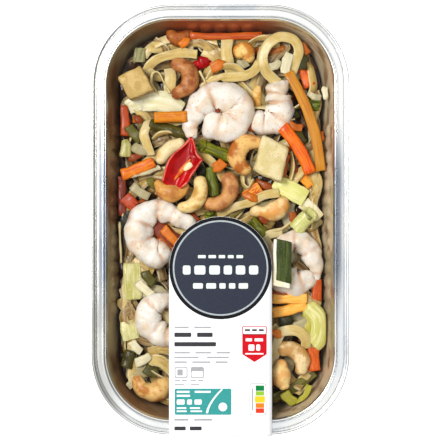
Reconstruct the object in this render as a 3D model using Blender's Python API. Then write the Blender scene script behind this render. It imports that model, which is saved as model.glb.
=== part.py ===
"""Pad thai with prawns in a foil tray, sealed under a clear film that carries a paper label.

Metres, +Z up. The origin is the middle of the tray's base, and +Y points away from the label's folded end.
The tables of food give millimetres and degrees; each piece is laid on the heap of noodles and on the pieces before it.
"""

import math

import bmesh
import bpy
from mathutils import Matrix, Vector
from mathutils.bvhtree import BVHTree

MM = 0.001
GAP = 0.35  # clearance between neighbouring pieces
LAY_STEP = 0.2  # how much higher a piece goes each time it still touches another
UP = Vector((0, 0, 1))

# Foil tray
RIM_HALF = (66.0, 110.0)
RIM_RADIUS = 41.0
FLANGE_TOP = 40.0
FOIL = 0.5
CURL_HEIGHT = 0.9
BEAD_HEIGHT = 0.7
FLANGE_WIDTH = 7.6
WALL_TAPER = math.radians(12.5)
PLEAT_DEPTH = 1.0
PLEAT_TOP = 34.0
PLEAT_FOOT = 7.0
LONG_PLEATS = 14
SHORT_PLEATS = 5
PLEAT_PITCH = 7.1
CORNER_STEPS = 9

# Lidding film and label
FILM_INSET = 3.4
FILM_THICK = 0.25
FILM_BOTTOM = FLANGE_TOP + CURL_HEIGHT + 0.1
LABEL_THICK = 0.25
LABEL_BOTTOM = FILM_BOTTOM + FILM_THICK + GAP
LABEL_HALF_WIDTH = 26.2
LABEL_HEAD_Y = -24.7
LABEL_HEAD_STEPS = 18
LABEL_FOLD_RADIUS = 1.3
LABEL_FOLD_STEPS = 5
LABEL_TAIL = 26.0
LABEL_TAIL_LEAN = math.radians(30)

# Heap of noodles
HEAP_FLOOR = FOIL + GAP
HEAP_EDGE = 23.6
HEAP_MIDDLE = 24.6
HEAP_LUMP = 0.9
HEAP_RINGS = 8

# Laying grid
CELL = 0.7
GRID = (64.0, 108.0)

# Prawns: x, y, angle of the thick end, sweep, spiral radius there and at the tail, girth
PRAWNS = [
    (-33.0, -7.4, -98, -238, 13.2, 12.4, 7.8),
    (-32.0, -50.7, -80, -250, 7.6, 8.6, 6.5),
    (36.8, -21.9, -82, -278, 11.0, 10.8, 6.0),
    (-1.8, 54.1, -82, 308, 8.8, 15.0, 7.6),
    (27.0, 57.4, -112, 168, 7.0, 19.0, 6.2),
]
PRAWN_SHAPE = [0.52, 0.86, 1.0, 1.0, 0.97, 0.93, 0.87, 0.8, 0.71, 0.58, 0.4, 0.2]
PRAWN_FLATNESS = 0.78

# Cashews: x, y, angle of the back, radius, bend, width
CASHEWS = [
    (-21.2, 92.4, -100, 3.5, 150, 6.6),
    (-18.3, 72.2, 0, 7.2, 150, 8.6),
    (11.7, 85.4, 60, 2.6, 120, 8.0),
    (18.6, 62.2, 180, 12.0, 46, 4.8),
    (-25.6, 35.0, 127, 12.0, 68, 7.4),
    (-25.0, 14.5, -95, 7.6, 118, 8.0),
    (-14.2, 12.9, -35, 9.2, 112, 7.4),
    (12.6, 33.2, 156, 6.8, 150, 8.4),
    (0.4, 14.1, -35, 8.8, 118, 8.6),
    (25.2, 5.2, -78, 9.0, 92, 8.4),
    (37.3, -71.0, 40, 7.4, 112, 8.6),
    (31.0, -79.4, 188, 15.0, 38, 9.6),
    (-34.9, -86.6, -98, 6.2, 140, 9.4),
    (29.6, 86.6, 90, 3.4, 90, 5.2),
]
CASHEW_SHAPE = [0.45, 0.88, 1.0, 0.94, 0.92, 0.86, 0.42]
CASHEW_FLATNESS = 0.86

# Carrot batons: both ends, width, thickness, sideways bow
CARROTS = [
    (-15.6, 92.8, 21.4, 93.2, 3.8, 3.6, 0.5),
    (-33.9, 52.2, -18.6, 52.6, 5.2, 4.6, 0.0),
    (-50.0, 56.8, -48.8, 42.8, 4.8, 3.4, -0.5),
    (-50.0, 23.0, -34.4, 29.2, 5.4, 4.8, 0.3),
    (-49.0, 11.6, -43.6, 7.0, 6.2, 2.8, 0.0),
    (-50.4, 20.0, -50.2, 3.0, 3.8, 2.8, 0.3),
    (34.6, 74.4, 51.0, 24.6, 4.9, 2.2, -3.4),
    (32.6, 46.2, 46.4, 23.6, 6.2, 4.8, -1.4),
    (37.8, 23.2, 46.6, 17.4, 6.4, 2.6, -0.8),
    (13.6, 11.8, 20.2, 16.2, 6.2, 4.6, 0.0),
    (26.4, -40.6, 43.6, -41.0, 4.6, 4.0, 0.4),
    (26.8, -47.2, 43.4, -45.6, 4.6, 4.0, 0.4),
    (49.6, -32.4, 49.4, -41.2, 4.8, 4.2, 0.0),
    (47.2, -66.2, 48.2, -76.0, 6.0, 4.8, 0.3),
    (41.8, 78.2, 45.6, 68.6, 6.2, 3.0, 0.4),
]
CARROT_SHAPE = [0.82, 1.0, 1.0, 0.8]

# Green beans: both ends, diameter
BEANS = [
    (-36.0, 48.6, -18.8, 43.6, 6.0),
    (-10.2, 38.0, 5.6, 31.4, 6.4),
    (-5.6, 26.4, -3.0, 12.0, 5.8),
    (43.6, 59.6, 50.6, 58.0, 6.2),
    (16.4, 0.6, 22.6, -8.2, 6.4),
    (-6.0, 3.2, -4.6, -9.0, 5.8),
    (-48.4, -75.4, -45.8, -67.4, 6.6),
]
BEAN_SHAPE = [0.94, 1.0, 0.97, 0.92]

# Leek and courgette: name, both ends, width, thickness, arch
LEEKS = [
    ("leek_1", -46.0, 58.4, -19.4, 59.4, 9.6, 2.8, 1.6),
    ("leek_2", -41.6, 81.0, -41.6, 87.6, 6.8, 2.2, 0.6),
    ("leek_3", -49.0, 40.4, -48.6, 30.4, 5.8, 4.4, 0.4),
    ("leek_4", 28.4, 19.0, 43.0, 11.0, 9.2, 2.6, 1.0),
    ("leek_5", 42.6, 8.6, 50.0, 0.8, 6.8, 2.4, 0.5),
    ("leek_6", 38.8, -4.4, 45.8, 2.6, 8.2, 5.4, 0.0),
    ("leek_7", -45.4, -22.6, -44.4, -40.4, 9.0, 2.8, 1.2),
    ("leek_8", -46.8, -52.0, -45.4, -61.0, 8.8, 3.0, 0.4),
    ("leek_9", 28.0, -89.6, 46.4, -79.4, 5.0, 2.0, 0.6),
    ("courgette_1", 32.2, -9.6, 31.6, -35.6, 9.8, 4.2, 0.3),
    ("courgette_2", 48.2, -45.6, 48.2, -64.2, 9.6, 6.4, 0.6),
]
LEEK_SHAPE = [0.9, 1.0, 1.0, 0.92]

# Tofu: x, y, turn, length across, length along, height
TOFU = [(-42.2, 69.0, 27.5, 12.6, 13.6, 9.4), (26.6, 30.4, -10, 13.4, 18.2, 8.4)]
TOFU_EDGE = 0.9

# Red chilli: x, y, direction of the tip, length, mouth radius, share of the length that is hollow
CHILLIES = [(-18.8, 31.4, 68, 22.6, 7.8, 0.6), (-8.4, 80.3, 30, 8.0, 3.2, 0.3)]
CHILLI_SHAPE = [1.0, 0.96, 0.84, 0.66, 0.4, 0.12]
CHILLI_FLATNESS = 0.56

# Laying order, from the bottom of the pile to its top
ORDER = (
    "leek_2 leek_3 leek_7 leek_8 leek_9 bean_7 carrot_6 carrot_5 carrot_3 carrot_1 carrot_15 bean_4 "
    "leek_1 bean_1 carrot_2 tofu_1 carrot_4 bean_6 bean_3 bean_2 leek_5 leek_4 bean_5 carrot_9 "
    "carrot_8 carrot_10 carrot_11 carrot_12 prawn_3 leek_6 carrot_13 carrot_14 courgette_2 chilli_2 "
    "cashew_1 cashew_3 cashew_14 cashew_4 cashew_2 prawn_1 prawn_2 courgette_1 prawn_4 prawn_5 carrot_7 "
    "tofu_2 cashew_8 cashew_5 cashew_6 cashew_7 cashew_9 cashew_10 cashew_12 cashew_11 cashew_13 chilli_1"
).split()

# Colour, roughness and metallic value of each material
FINISHES = {
    "foil": ((0.86, 0.87, 0.87), 0.3, 1.0),
    "film": ((0.95, 0.97, 1.0), 0.08, 0.0),
    "paper": ((0.94, 0.94, 0.93), 0.6, 0.0),
    "noodle": ((0.78, 0.68, 0.36), 0.45, 0.0),
    "prawn": ((0.95, 0.88, 0.8), 0.4, 0.0),
    "cashew": ((0.82, 0.58, 0.28), 0.45, 0.0),
    "carrot": ((0.9, 0.36, 0.05), 0.4, 0.0),
    "bean": ((0.33, 0.36, 0.07), 0.4, 0.0),
    "leek": ((0.82, 0.83, 0.5), 0.4, 0.0),
    "courgette": ((0.22, 0.34, 0.08), 0.4, 0.0),
    "tofu": ((0.84, 0.74, 0.46), 0.7, 0.0),
    "chilli": ((0.68, 0.04, 0.03), 0.2, 0.0),
}


def finish(name):
    found = bpy.data.materials.get(name)
    if found:
        return found
    colour, roughness, metallic = FINISHES[name]
    material = bpy.data.materials.new(name)
    material.use_nodes = True
    shader = material.node_tree.nodes["Principled BSDF"]
    shader.inputs["Base Color"].default_value = (*colour, 1)
    shader.inputs["Roughness"].default_value = roughness
    shader.inputs["Metallic"].default_value = metallic
    material.diffuse_color = (*colour, 1)
    return material


def make_object(name, bm, material):
    """Turns millimetres into metres and links the shape as one object with outward faces."""
    bmesh.ops.recalc_face_normals(bm, faces=bm.faces)
    bmesh.ops.scale(bm, vec=(MM, MM, MM), verts=bm.verts)
    mesh = bpy.data.meshes.new(name)
    bm.to_mesh(mesh)
    bm.free()
    mesh.materials.append(finish(material))
    made = bpy.data.objects.new(name, mesh)
    bpy.context.scene.collection.objects.link(made)
    return made


def join_rings(bm, rings):
    """Skins a run of rings of vertices and closes both ends."""
    for low, high in zip(rings, rings[1:]):
        for i in range(len(low)):
            j = (i + 1) % len(low)
            bm.faces.new((low[i], low[j], high[j], high[i]))
    first = bm.faces.new(rings[0])
    last = bm.faces.new(rings[-1])
    return first, last


# Tray


def wall_inset(height):
    """How far the inside wall stands in from the rim's outline at a height."""
    return FLANGE_WIDTH + 1.0 + (FLANGE_TOP - 1.0 - height) * math.tan(WALL_TAPER)


def side_points(pleats, half_straight, depth):
    """(distance along, distance inwards) of the points on one straight side, pleated in its middle."""
    points = [(-half_straight, 0.0)]
    for k in range(2 * pleats + 1):
        points.append(((k / 2 - pleats / 2) * PLEAT_PITCH, depth * (k % 2)))
    return points


def tray_outline(inset, pleat=None):
    """Points round the tray, anticlockwise from the foot of the +X side; with no pleat value, sides are plain."""
    middle = [half - RIM_RADIUS for half in RIM_HALF]
    radius = RIM_RADIUS - inset
    points = []
    for side in range(4):
        turn = side * math.pi / 2
        across = RIM_HALF[side % 2] - inset
        straight = middle[1 - side % 2]
        pleats = LONG_PLEATS if side % 2 == 0 else SHORT_PLEATS
        run = [(-straight, 0.0)] if pleat is None else side_points(pleats, straight, pleat * PLEAT_DEPTH)
        for along, inwards in run:
            points.append(Matrix.Rotation(turn, 2) @ Vector((across - inwards, along)))
        for k in range(CORNER_STEPS):
            angle = math.pi / 2 * k / CORNER_STEPS
            corner = Vector((across - radius, straight))
            spoke = Vector((math.cos(angle), math.sin(angle))) * radius
            points.append(Matrix.Rotation(turn, 2) @ (corner + spoke))
    return points


def shape_tray():
    """One sheet of foil: base, pleated walls, inner bead, flange and curled rim."""
    top = FLANGE_TOP
    under = top - FOIL
    bead = FLANGE_WIDTH
    skin = FOIL / math.cos(WALL_TAPER)
    section = [
        (wall_inset(3) + 2.2, FOIL, 0),
        (wall_inset(3), 3, 0),
        (wall_inset(PLEAT_FOOT), PLEAT_FOOT, 1),
        (wall_inset(PLEAT_TOP), PLEAT_TOP, 1),
        (wall_inset(top - 0.7), top - 0.7, 0),
        (bead + 0.2, top + BEAD_HEIGHT, 0),
        (bead - 0.6, top + BEAD_HEIGHT, 0),
        (bead - 1.1, top, 0),
        (2.4, top, 0),
        (1.9, top + 0.5, 0),
        (1.1, top + CURL_HEIGHT, 0),
        (0.2, top + 0.3, 0),
        (0.0, top - 0.6, 0),
        (0.5, top - 1.5, 0),
        (1.4, top - 1.6, 0),
        (2.4, under, 0),
        (wall_inset(under) - skin, under - 0.3, 0),
        (wall_inset(PLEAT_TOP) - skin, PLEAT_TOP, 1),
        (wall_inset(PLEAT_FOOT) - skin, PLEAT_FOOT, 1),
        (wall_inset(3) - skin, 2.6, 0),
        (wall_inset(3) + 1.6, 0, 0),
    ]
    bm = bmesh.new()
    rings = []
    for inset, height, pleat in section:
        rings.append([bm.verts.new((*p, height)) for p in tray_outline(inset, pleat)])
    join_rings(bm, rings)
    return bm


# Film and label


def build_film():
    bm = bmesh.new()
    rings = []
    for height in (FILM_BOTTOM, FILM_BOTTOM + FILM_THICK):
        rings.append([bm.verts.new((*p, height)) for p in tray_outline(FILM_INSET)])
    join_rings(bm, rings)
    return make_object("film", bm, "film")


def build_label():
    """A strip with a round head, folded over the rim at -Y with its tail leaning in under the flange."""
    mid = LABEL_BOTTOM + LABEL_THICK / 2
    fold_y = -(RIM_HALF[1] + GAP + LABEL_THICK / 2 - LABEL_FOLD_RADIUS)
    bm = bmesh.new()
    head = []
    for k in range(LABEL_HEAD_STEPS + 1):
        angle = math.pi * k / LABEL_HEAD_STEPS
        spoke = Vector((math.cos(angle), math.sin(angle), 0)) * LABEL_HALF_WIDTH
        head.append(bm.verts.new(Vector((0, LABEL_HEAD_Y, mid)) + spoke))
    run = []
    for k in range(LABEL_FOLD_STEPS + 1):
        angle = math.pi / 2 * k / LABEL_FOLD_STEPS
        out, down = math.sin(angle), 1 - math.cos(angle)
        run.append((fold_y - LABEL_FOLD_RADIUS * out, mid - LABEL_FOLD_RADIUS * down))
    below_rim = (run[-1][0], FLANGE_TOP - 2.4)
    lean = (math.sin(LABEL_TAIL_LEAN) * LABEL_TAIL, math.cos(LABEL_TAIL_LEAN) * LABEL_TAIL)
    run += [below_rim, (below_rim[0] + lean[0], below_rim[1] - lean[1])]
    rows = [(bm.verts.new((-LABEL_HALF_WIDTH, y, z)), bm.verts.new((LABEL_HALF_WIDTH, y, z))) for y, z in run]
    bm.faces.new(head + [rows[0][0], rows[0][1]])
    for (left, right), (next_left, next_right) in zip(rows, rows[1:]):
        bm.faces.new((right, left, next_left, next_right))
    made = make_object("label", bm, "paper")
    solidify = made.modifiers.new("paper thickness", "SOLIDIFY")
    solidify.thickness = LABEL_THICK * MM
    solidify.offset = 0
    return made


# Heap of noodles


def heap_height(x, y):
    """The heap's top: higher in the middle, with lumps of a few strands."""
    reach = max(abs(x) / RIM_HALF[0], abs(y) / RIM_HALF[1])
    lumps = math.sin(x / 6.1 + 0.4) * math.cos(y / 7.3) + 0.6 * math.sin((x + y) / 4.4)
    return HEAP_MIDDLE + (HEAP_EDGE - HEAP_MIDDLE) * reach**3 + HEAP_LUMP * lumps


def shape_heap():
    bm = bmesh.new()
    clear = PLEAT_DEPTH + GAP
    foot = tray_outline(wall_inset(3) + 2.2 + clear, 0)[::2]
    edge = tray_outline(wall_inset(HEAP_EDGE) + clear, 0)[::2]
    rings = [[bm.verts.new((*p, HEAP_FLOOR)) for p in foot]]
    for k in range(HEAP_RINGS):
        share = 1 - (k / HEAP_RINGS) ** 1.15
        rings.append([bm.verts.new((*(p * share), heap_height(*(p * share)))) for p in edge])
    join_rings(bm, rings)
    return bm


# Pieces of food, each first shaped about the origin


def sweep(spine, half_widths, half_heights, sides, phase=0.0):
    """A closed tube along a spine, with an ellipse of its own at each point."""
    bm = bmesh.new()
    rings = []
    for i, centre in enumerate(spine):
        ahead = (spine[min(i + 1, len(spine) - 1)] - spine[max(i - 1, 0)]).normalized()
        side = ahead.cross(UP).normalized()
        over = side.cross(ahead)
        ring = []
        for k in range(sides):
            angle = 2 * math.pi * k / sides + phase
            offset = side * math.cos(angle) * half_widths[i] + over * math.sin(angle) * half_heights[i]
            ring.append(bm.verts.new(centre + offset))
        rings.append(ring)
    ends = join_rings(bm, rings)
    return bm, ends


def arc(radius_at, start, turn, count):
    """Points along an arc or spiral in the XY plane; radius_at gives the radius for each share of the turn."""
    points = []
    for k in range(count):
        share = k / (count - 1)
        angle = math.radians(start + turn * share)
        points.append(Vector((math.cos(angle), math.sin(angle), 0)) * radius_at(share))
    return points


def prawn(head, turn, head_radius, tail_radius, girth):
    def radius(share):
        return head_radius + (tail_radius - head_radius) * share**3

    spine = arc(radius, head, turn, len(PRAWN_SHAPE))
    widths = [girth * share for share in PRAWN_SHAPE]
    return sweep(spine, widths, [w * PRAWN_FLATNESS for w in widths], 8)[0]


def cashew(back, radius, bend, width):
    spine = arc(lambda share: radius, back - bend / 2, bend, len(CASHEW_SHAPE))
    # The end rings reach half a width beyond the bend, so that the nut ends round.
    for end, inner in ((0, 1), (-1, -2)):
        spine[end] += (spine[end] - spine[inner]).normalized() * width * 0.3
    widths = [width / 2 * share for share in CASHEW_SHAPE]
    return sweep(spine, widths, [w * CASHEW_FLATNESS for w in widths], 8)[0]


def strip(x1, y1, x2, y2, width, thick, bow, arch, shape, sides):
    """A piece with both ends given, bowed sideways or arched upwards; four sides make it square-cut."""
    start, end = Vector((x1, y1, 0)), Vector((x2, y2, 0))
    side = (end - start).normalized().cross(UP)
    spine = []
    for k in range(len(shape)):
        share = k / (len(shape) - 1)
        hump = 4 * share * (1 - share)
        spine.append(start.lerp(end, share) + side * bow * hump + UP * arch * hump)
    square = math.sqrt(2) if sides == 4 else 1.0
    widths = [width / 2 * square * share for share in shape]
    heights = [thick / 2 * square * share**0.5 for share in shape]
    return sweep(spine, widths, heights, sides, math.pi / 4 if sides == 4 else 0.0)[0]


def tofu_block(turn, across, along, height):
    bm = bmesh.new()
    bmesh.ops.create_cube(bm, size=1)
    bmesh.ops.scale(bm, vec=(across, along, height), verts=bm.verts)
    bmesh.ops.bevel(bm, geom=bm.edges, offset=TOFU_EDGE, segments=1, affect="EDGES")
    bmesh.ops.rotate(bm, matrix=Matrix.Rotation(math.radians(turn), 3, "Z"), verts=bm.verts)
    return bm


def chilli(tip, length, mouth, hollow):
    ahead = Vector((math.cos(math.radians(tip)), math.sin(math.radians(tip)), 0))
    count = len(CHILLI_SHAPE)
    spine = [ahead * length * k / (count - 1) for k in range(count)]
    widths = [mouth * share for share in CHILLI_SHAPE]
    bm, (opening, _) = sweep(spine, widths, [w * CHILLI_FLATNESS for w in widths], 10)
    bmesh.ops.recalc_face_normals(bm, faces=bm.faces)
    bmesh.ops.inset_region(bm, faces=[opening], thickness=mouth * 0.16)
    floor = list(opening.verts)
    middle = opening.calc_center_median()
    bmesh.ops.translate(bm, vec=ahead * length * hollow, verts=floor)
    for vert in floor:
        shrink = Matrix.Diagonal((0.45, 0.45, 0.45))
        centre = middle + ahead * length * hollow
        vert.co = centre + shrink @ (vert.co - centre)
    return bm


def centre_on(bm, x, y):
    """Moves a shape sideways until the middle of its plan is at x, y."""
    xs = [v.co.x for v in bm.verts]
    ys = [v.co.y for v in bm.verts]
    shift = Vector((x - (min(xs) + max(xs)) / 2, y - (min(ys) + max(ys)) / 2, 0))
    bmesh.ops.translate(bm, vec=shift, verts=bm.verts)
    return bm


def shape_food():
    """Every piece of food by name, with its material, in its place in plan."""
    food = {}
    for k, (x, y, *form) in enumerate(PRAWNS, 1):
        food[f"prawn_{k}"] = (centre_on(prawn(*form), x, y), "prawn")
    for k, (x, y, *form) in enumerate(CASHEWS, 1):
        food[f"cashew_{k}"] = (centre_on(cashew(*form), x, y), "cashew")
    for k, (x, y, *form) in enumerate(TOFU, 1):
        food[f"tofu_{k}"] = (centre_on(tofu_block(*form), x, y), "tofu")
    for k, (x, y, *form) in enumerate(CHILLIES, 1):
        food[f"chilli_{k}"] = (centre_on(chilli(*form), x, y), "chilli")
    for k, (*ends, width, thick, bow) in enumerate(CARROTS, 1):
        food[f"carrot_{k}"] = (strip(*ends, width, thick, bow, 0, CARROT_SHAPE, 4), "carrot")
    for k, (*ends, width) in enumerate(BEANS, 1):
        food[f"bean_{k}"] = (strip(*ends, width, width, 0, 0, BEAN_SHAPE, 8), "bean")
    for name, *ends, width, thick, arch in LEEKS:
        bm = strip(*ends, width, thick, 0, arch, LEEK_SHAPE, 4)
        food[name] = (bm, name.split("_")[0])
    return food


class LayingGrid:
    """The height of everything laid so far, on a square grid over the tray, and the surfaces of the pieces."""

    def __init__(self):
        self.top = {}
        self.laid = []

    def cells_under(self, bm):
        xs = [v.co.x for v in bm.verts]
        ys = [v.co.y for v in bm.verts]
        for i in range(math.floor(min(xs) / CELL), math.ceil(max(xs) / CELL) + 1):
            for j in range(math.floor(min(ys) / CELL), math.ceil(max(ys) / CELL) + 1):
                if abs(i * CELL) < GRID[0] and abs(j * CELL) < GRID[1]:
                    yield i, j

    def height(self, i, j):
        return self.top.get((i, j), heap_height(i * CELL, j * CELL))

    def lay(self, bm):
        """Lowers a shape until it clears what lies under it, and adds it to the grid."""
        tree = BVHTree.FromBMesh(bm)
        faces = {}
        for i, j in self.cells_under(bm):
            below = tree.ray_cast(Vector((i * CELL, j * CELL, -99)), UP)[0]
            above = tree.ray_cast(Vector((i * CELL, j * CELL, 99)), -UP)[0]
            if below and above:
                faces[i, j] = (below.z, above.z)
        lift = max(self.height(*cell) + GAP - low for cell, (low, _) in faces.items())
        bmesh.ops.translate(bm, vec=UP * lift, verts=bm.verts)
        while any(BVHTree.FromBMesh(bm).overlap(other) for other in self.laid):
            bmesh.ops.translate(bm, vec=UP * LAY_STEP, verts=bm.verts)
            lift += LAY_STEP
        bmesh.ops.translate(bm, vec=UP * LAY_STEP, verts=bm.verts)
        lift += LAY_STEP
        self.laid.append(BVHTree.FromBMesh(bm))
        for cell, (_, high) in faces.items():
            self.top[cell] = high + lift


def main():
    for old in list(bpy.data.objects):
        bpy.data.objects.remove(old)
    build_film()
    build_label()
    tray, heap = shape_tray(), shape_heap()
    grid = LayingGrid()
    grid.laid = [BVHTree.FromBMesh(tray), BVHTree.FromBMesh(heap)]
    make_object("tray", tray, "foil")
    make_object("noodle_bed", heap, "noodle")
    food = shape_food()
    for name in ORDER:
        bm, material = food[name]
        grid.lay(bm)
        make_object(name, bm, material)


main()
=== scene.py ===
import math
import random

import bpy
from mathutils import Matrix, Vector, noise


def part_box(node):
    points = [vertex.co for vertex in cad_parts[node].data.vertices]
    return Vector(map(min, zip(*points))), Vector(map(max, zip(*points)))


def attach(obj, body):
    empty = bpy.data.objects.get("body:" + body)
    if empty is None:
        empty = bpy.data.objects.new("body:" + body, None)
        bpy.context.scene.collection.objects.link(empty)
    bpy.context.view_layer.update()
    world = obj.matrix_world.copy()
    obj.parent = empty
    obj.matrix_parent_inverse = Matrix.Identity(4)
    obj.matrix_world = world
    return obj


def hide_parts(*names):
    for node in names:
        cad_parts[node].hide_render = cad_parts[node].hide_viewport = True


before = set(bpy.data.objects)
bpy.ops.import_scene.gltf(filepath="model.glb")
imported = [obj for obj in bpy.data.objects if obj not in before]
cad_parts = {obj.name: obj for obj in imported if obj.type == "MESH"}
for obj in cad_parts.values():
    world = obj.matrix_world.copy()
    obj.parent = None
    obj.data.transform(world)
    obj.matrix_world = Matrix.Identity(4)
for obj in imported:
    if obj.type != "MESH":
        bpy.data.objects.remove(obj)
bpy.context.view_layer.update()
bpy.ops.object.select_all(action="DESELECT")

mm = 0.001
up = Vector((0, 0, 1))
draw = random.Random(11)


# Shaping. Every place below is in millimetres, in the tray's own frame.


def smooth(value):
    value = max(0.0, min(1.0, value))
    return value * value * (3 - 2 * value)


def smoothPath(rows, count):
    # a smooth curve through rows of numbers, so that widths and leans ride along with the places
    rows = [rows[0], *rows, rows[-1]]
    spans = len(rows) - 3
    path = []
    for k in range(count):
        at = k / (count - 1) * spans
        i = min(int(at), spans - 1)
        t = at - i
        path.append([
            q + 0.5 * t * (r - p + t * (2 * p - 5 * q + 4 * r - s + t * (3 * (q - r) + s - p)))
            for p, q, r, s in zip(*rows[i:i + 4])
        ])
    return path


def gridPiece(name, across, along, place):
    # a grid primitive with each point taken to its place, and sewn up where points meet
    bpy.ops.mesh.primitive_grid_add(x_subdivisions=across, y_subdivisions=along, size=1)
    piece = bpy.context.object
    piece.name = piece.data.name = name
    columns = [round((vert.co.x + 0.5) * across) for vert in piece.data.vertices]
    rows = [round((vert.co.y + 0.5) * along) for vert in piece.data.vertices]
    for label, values in (("column", columns), ("row", rows)):
        piece.data.attributes.new(label, "INT", "POINT").data.foreach_set("value", values)
    for vert, column, row in zip(piece.data.vertices, columns, rows):
        vert.co = place(column, row) * mm
    bpy.ops.object.mode_set(mode="EDIT")
    bpy.ops.mesh.select_all(action="SELECT")
    bpy.ops.mesh.remove_doubles(threshold=0.001 * mm)
    bpy.ops.mesh.normals_make_consistent(inside=False)
    bpy.ops.object.mode_set(mode="OBJECT")
    bpy.ops.object.shade_smooth()
    piece.select_set(False)
    return piece


tubes = {}


def tubePiece(name, around, along, place):
    # a closed tube is modelled once for each count of points, and its copies are bent to their places
    if (around, along) not in tubes:
        model = gridPiece(name, around, along, place)
        tubes[around, along] = model.data.copy()
        return model
    mesh = tubes[around, along].copy()
    mesh.name = name
    columns, rows = (mesh.attributes[label].data for label in ("column", "row"))
    for vert, column, row in zip(mesh.vertices, columns, rows):
        vert.co = place(column.value, row.value) * mm
    piece = bpy.data.objects.new(name, mesh)
    bpy.context.scene.collection.objects.link(piece)
    return piece


# How a swept piece ends: steps outwards, in half heights, and the share of the section there
endings = {
    "round": [(1.0, 0.0), (0.95, 0.32), (0.78, 0.62), (0.5, 0.86), (0.22, 0.97)],
    "cut": [(0.1, 0.0), (0.1, 0.6), (0.08, 0.9)],
    "hollow": [(-1.1, 0.0), (-0.9, 0.5), (0.05, 0.62), (0.15, 0.8), (0.1, 0.94)],
}


def sweepPiece(name, path, around, square=2.0, ends=("round", "round"), slants=(0, 0), mould=None):
    # rows of the path: x, y, z, half width, half height, lean of the section in degrees
    rings = []
    last = len(path) - 1
    for i, row in enumerate(path):
        ahead = (Vector(path[min(i + 1, last)][:3]) - Vector(path[max(i - 1, 0)][:3])).normalized()
        side = ahead.cross(up).normalized()
        turn = Matrix.Rotation(math.radians(row[5]), 3, ahead)
        rings.append((Vector(row[:3]), ahead, turn @ side, turn @ side.cross(ahead), row[3], row[4],
                      i / last, 0))
    for ending, slant, first in ((ends[0], slants[0], True), (ends[1], slants[1], False)):
        centre, ahead, side, over, wide, tall, share, _ = rings[0] if first else rings[-1]
        out = -ahead if first else ahead
        cap = [
            (centre + out * reach * tall, ahead, side, over, wide * part, tall * part, share, slant)
            for reach, part in endings[ending]
        ]
        if first:
            rings[0] = (*rings[0][:7], slant)
            rings = cap + rings
        else:
            rings[-1] = (*rings[-1][:7], slant)
            rings += cap[::-1]

    def place(column, row):
        centre, ahead, side, over, wide, tall, share, slant = rings[row]
        angle = 2 * math.pi * (column % around) / around
        x, y = math.cos(angle), math.sin(angle)
        x, y = (math.copysign(abs(c) ** (2 / square), c) for c in (x, y))
        swell = mould(share, angle) if mould else 1
        return centre + side * x * wide * swell + (over + ahead * slant) * y * tall * swell

    return tubePiece(name, around, len(rings) - 1, place)


def roughen(piece, size, depth, seed):
    # pushes the surface in and out along its normals, by lumps of the given size
    shift = Vector((seed * 7.13, seed * 3.37, seed * 5.71))
    normals = [vert.normal.copy() for vert in piece.data.vertices]
    for vert, normal in zip(piece.data.vertices, normals):
        vert.co += normal * depth * mm * noise.noise(vert.co / (size * mm) + shift)
    return piece


def joinPieces(name, pieces):
    bpy.ops.object.select_all(action="DESELECT")
    for piece in pieces:
        piece.select_set(True)
    bpy.context.view_layer.objects.active = pieces[0]
    if len(pieces) > 1:
        bpy.ops.object.join()
    joined = bpy.context.object
    joined.name = joined.data.name = name
    joined.select_set(False)
    return joined


def giveTone(piece, tone):
    # a number that a shared material reads, so that each strand or bit has its own tone; for strands it is
    # partly painted shade, darker where they lie low
    attribute = piece.data.attributes.new("tone", "FLOAT", "POINT")
    attribute.data.foreach_set("value", [tone] * len(piece.data.vertices))
    return piece


def dress(piece, *materials):
    piece.data.materials.clear()
    for material in materials:
        piece.data.materials.append(material)
    return piece


def spread(z):
    # the lower a piece lies in the tray, the wider it is set, by a millimetre at most
    return 1 + (40 - z) / 935


def settle(piece, node, nudge=(0, 0, 0), centred=False):
    # puts a piece over its solid in the frame: top level with top, and on request middle over middle
    low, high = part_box(node)
    corners = [[vert.co[axis] for vert in piece.data.vertices] for axis in range(3)]
    middle = [(min(values) + max(values)) / 2 for values in corners]
    shift = []
    for axis in (0, 1):
        aim = (low[axis] + high[axis]) / 2 if centred else middle[axis]
        shift.append(aim * spread(high.z / mm) + nudge[axis] * mm - middle[axis])
    shift.append(high.z + nudge[2] * mm - max(corners[2]))
    piece.data.transform(Matrix.Translation(shift))
    keepInside(piece)
    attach(piece, "root")
    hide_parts(node)
    return piece


def belong(piece):
    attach(piece, "root")
    return piece


# Shading


def tint(red, green, blue):
    # screen values from 0 to 255, as the linear colour that a shader takes
    linear = [(c / 255 / 12.92) if c < 11 else ((c / 255 + 0.055) / 1.055) ** 2.4 for c in (red, green, blue)]
    return (*linear, 1)


def deep(red, green, blue):
    # the same for wet food, a little darker and more saturated, since gloss lies over it
    return (*(0.9 * c ** 1.22 for c in tint(red, green, blue)[:3]), 1)


def put(tree, kind, inputs=None, **settings):
    node = tree.nodes.new(kind)
    for key, value in settings.items():
        setattr(node, key, value)
    for key, value in (inputs or {}).items():
        if isinstance(value, bpy.types.NodeSocket):
            tree.links.new(value, node.inputs[key])
        else:
            node.inputs[key].default_value = value
    return node


def mixColour(tree, mask, first, second):
    mixer = put(tree, "ShaderNodeMix", {0: mask, 6: first, 7: second}, data_type="RGBA")
    return mixer.outputs[2]


def slope(tree, value, start, end, low=0.0, high=1.0, kind="LINEAR"):
    # goes from low to high while the given value goes from start to end
    return put(tree, "ShaderNodeMapRange", {
        "Value": value, "From Min": start, "From Max": end, "To Min": low, "To Max": high,
    }, interpolation_type=kind).outputs[0]


def maths(tree, operation, *values):
    return put(tree, "ShaderNodeMath", dict(enumerate(values)), operation=operation).outputs[0]


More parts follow.
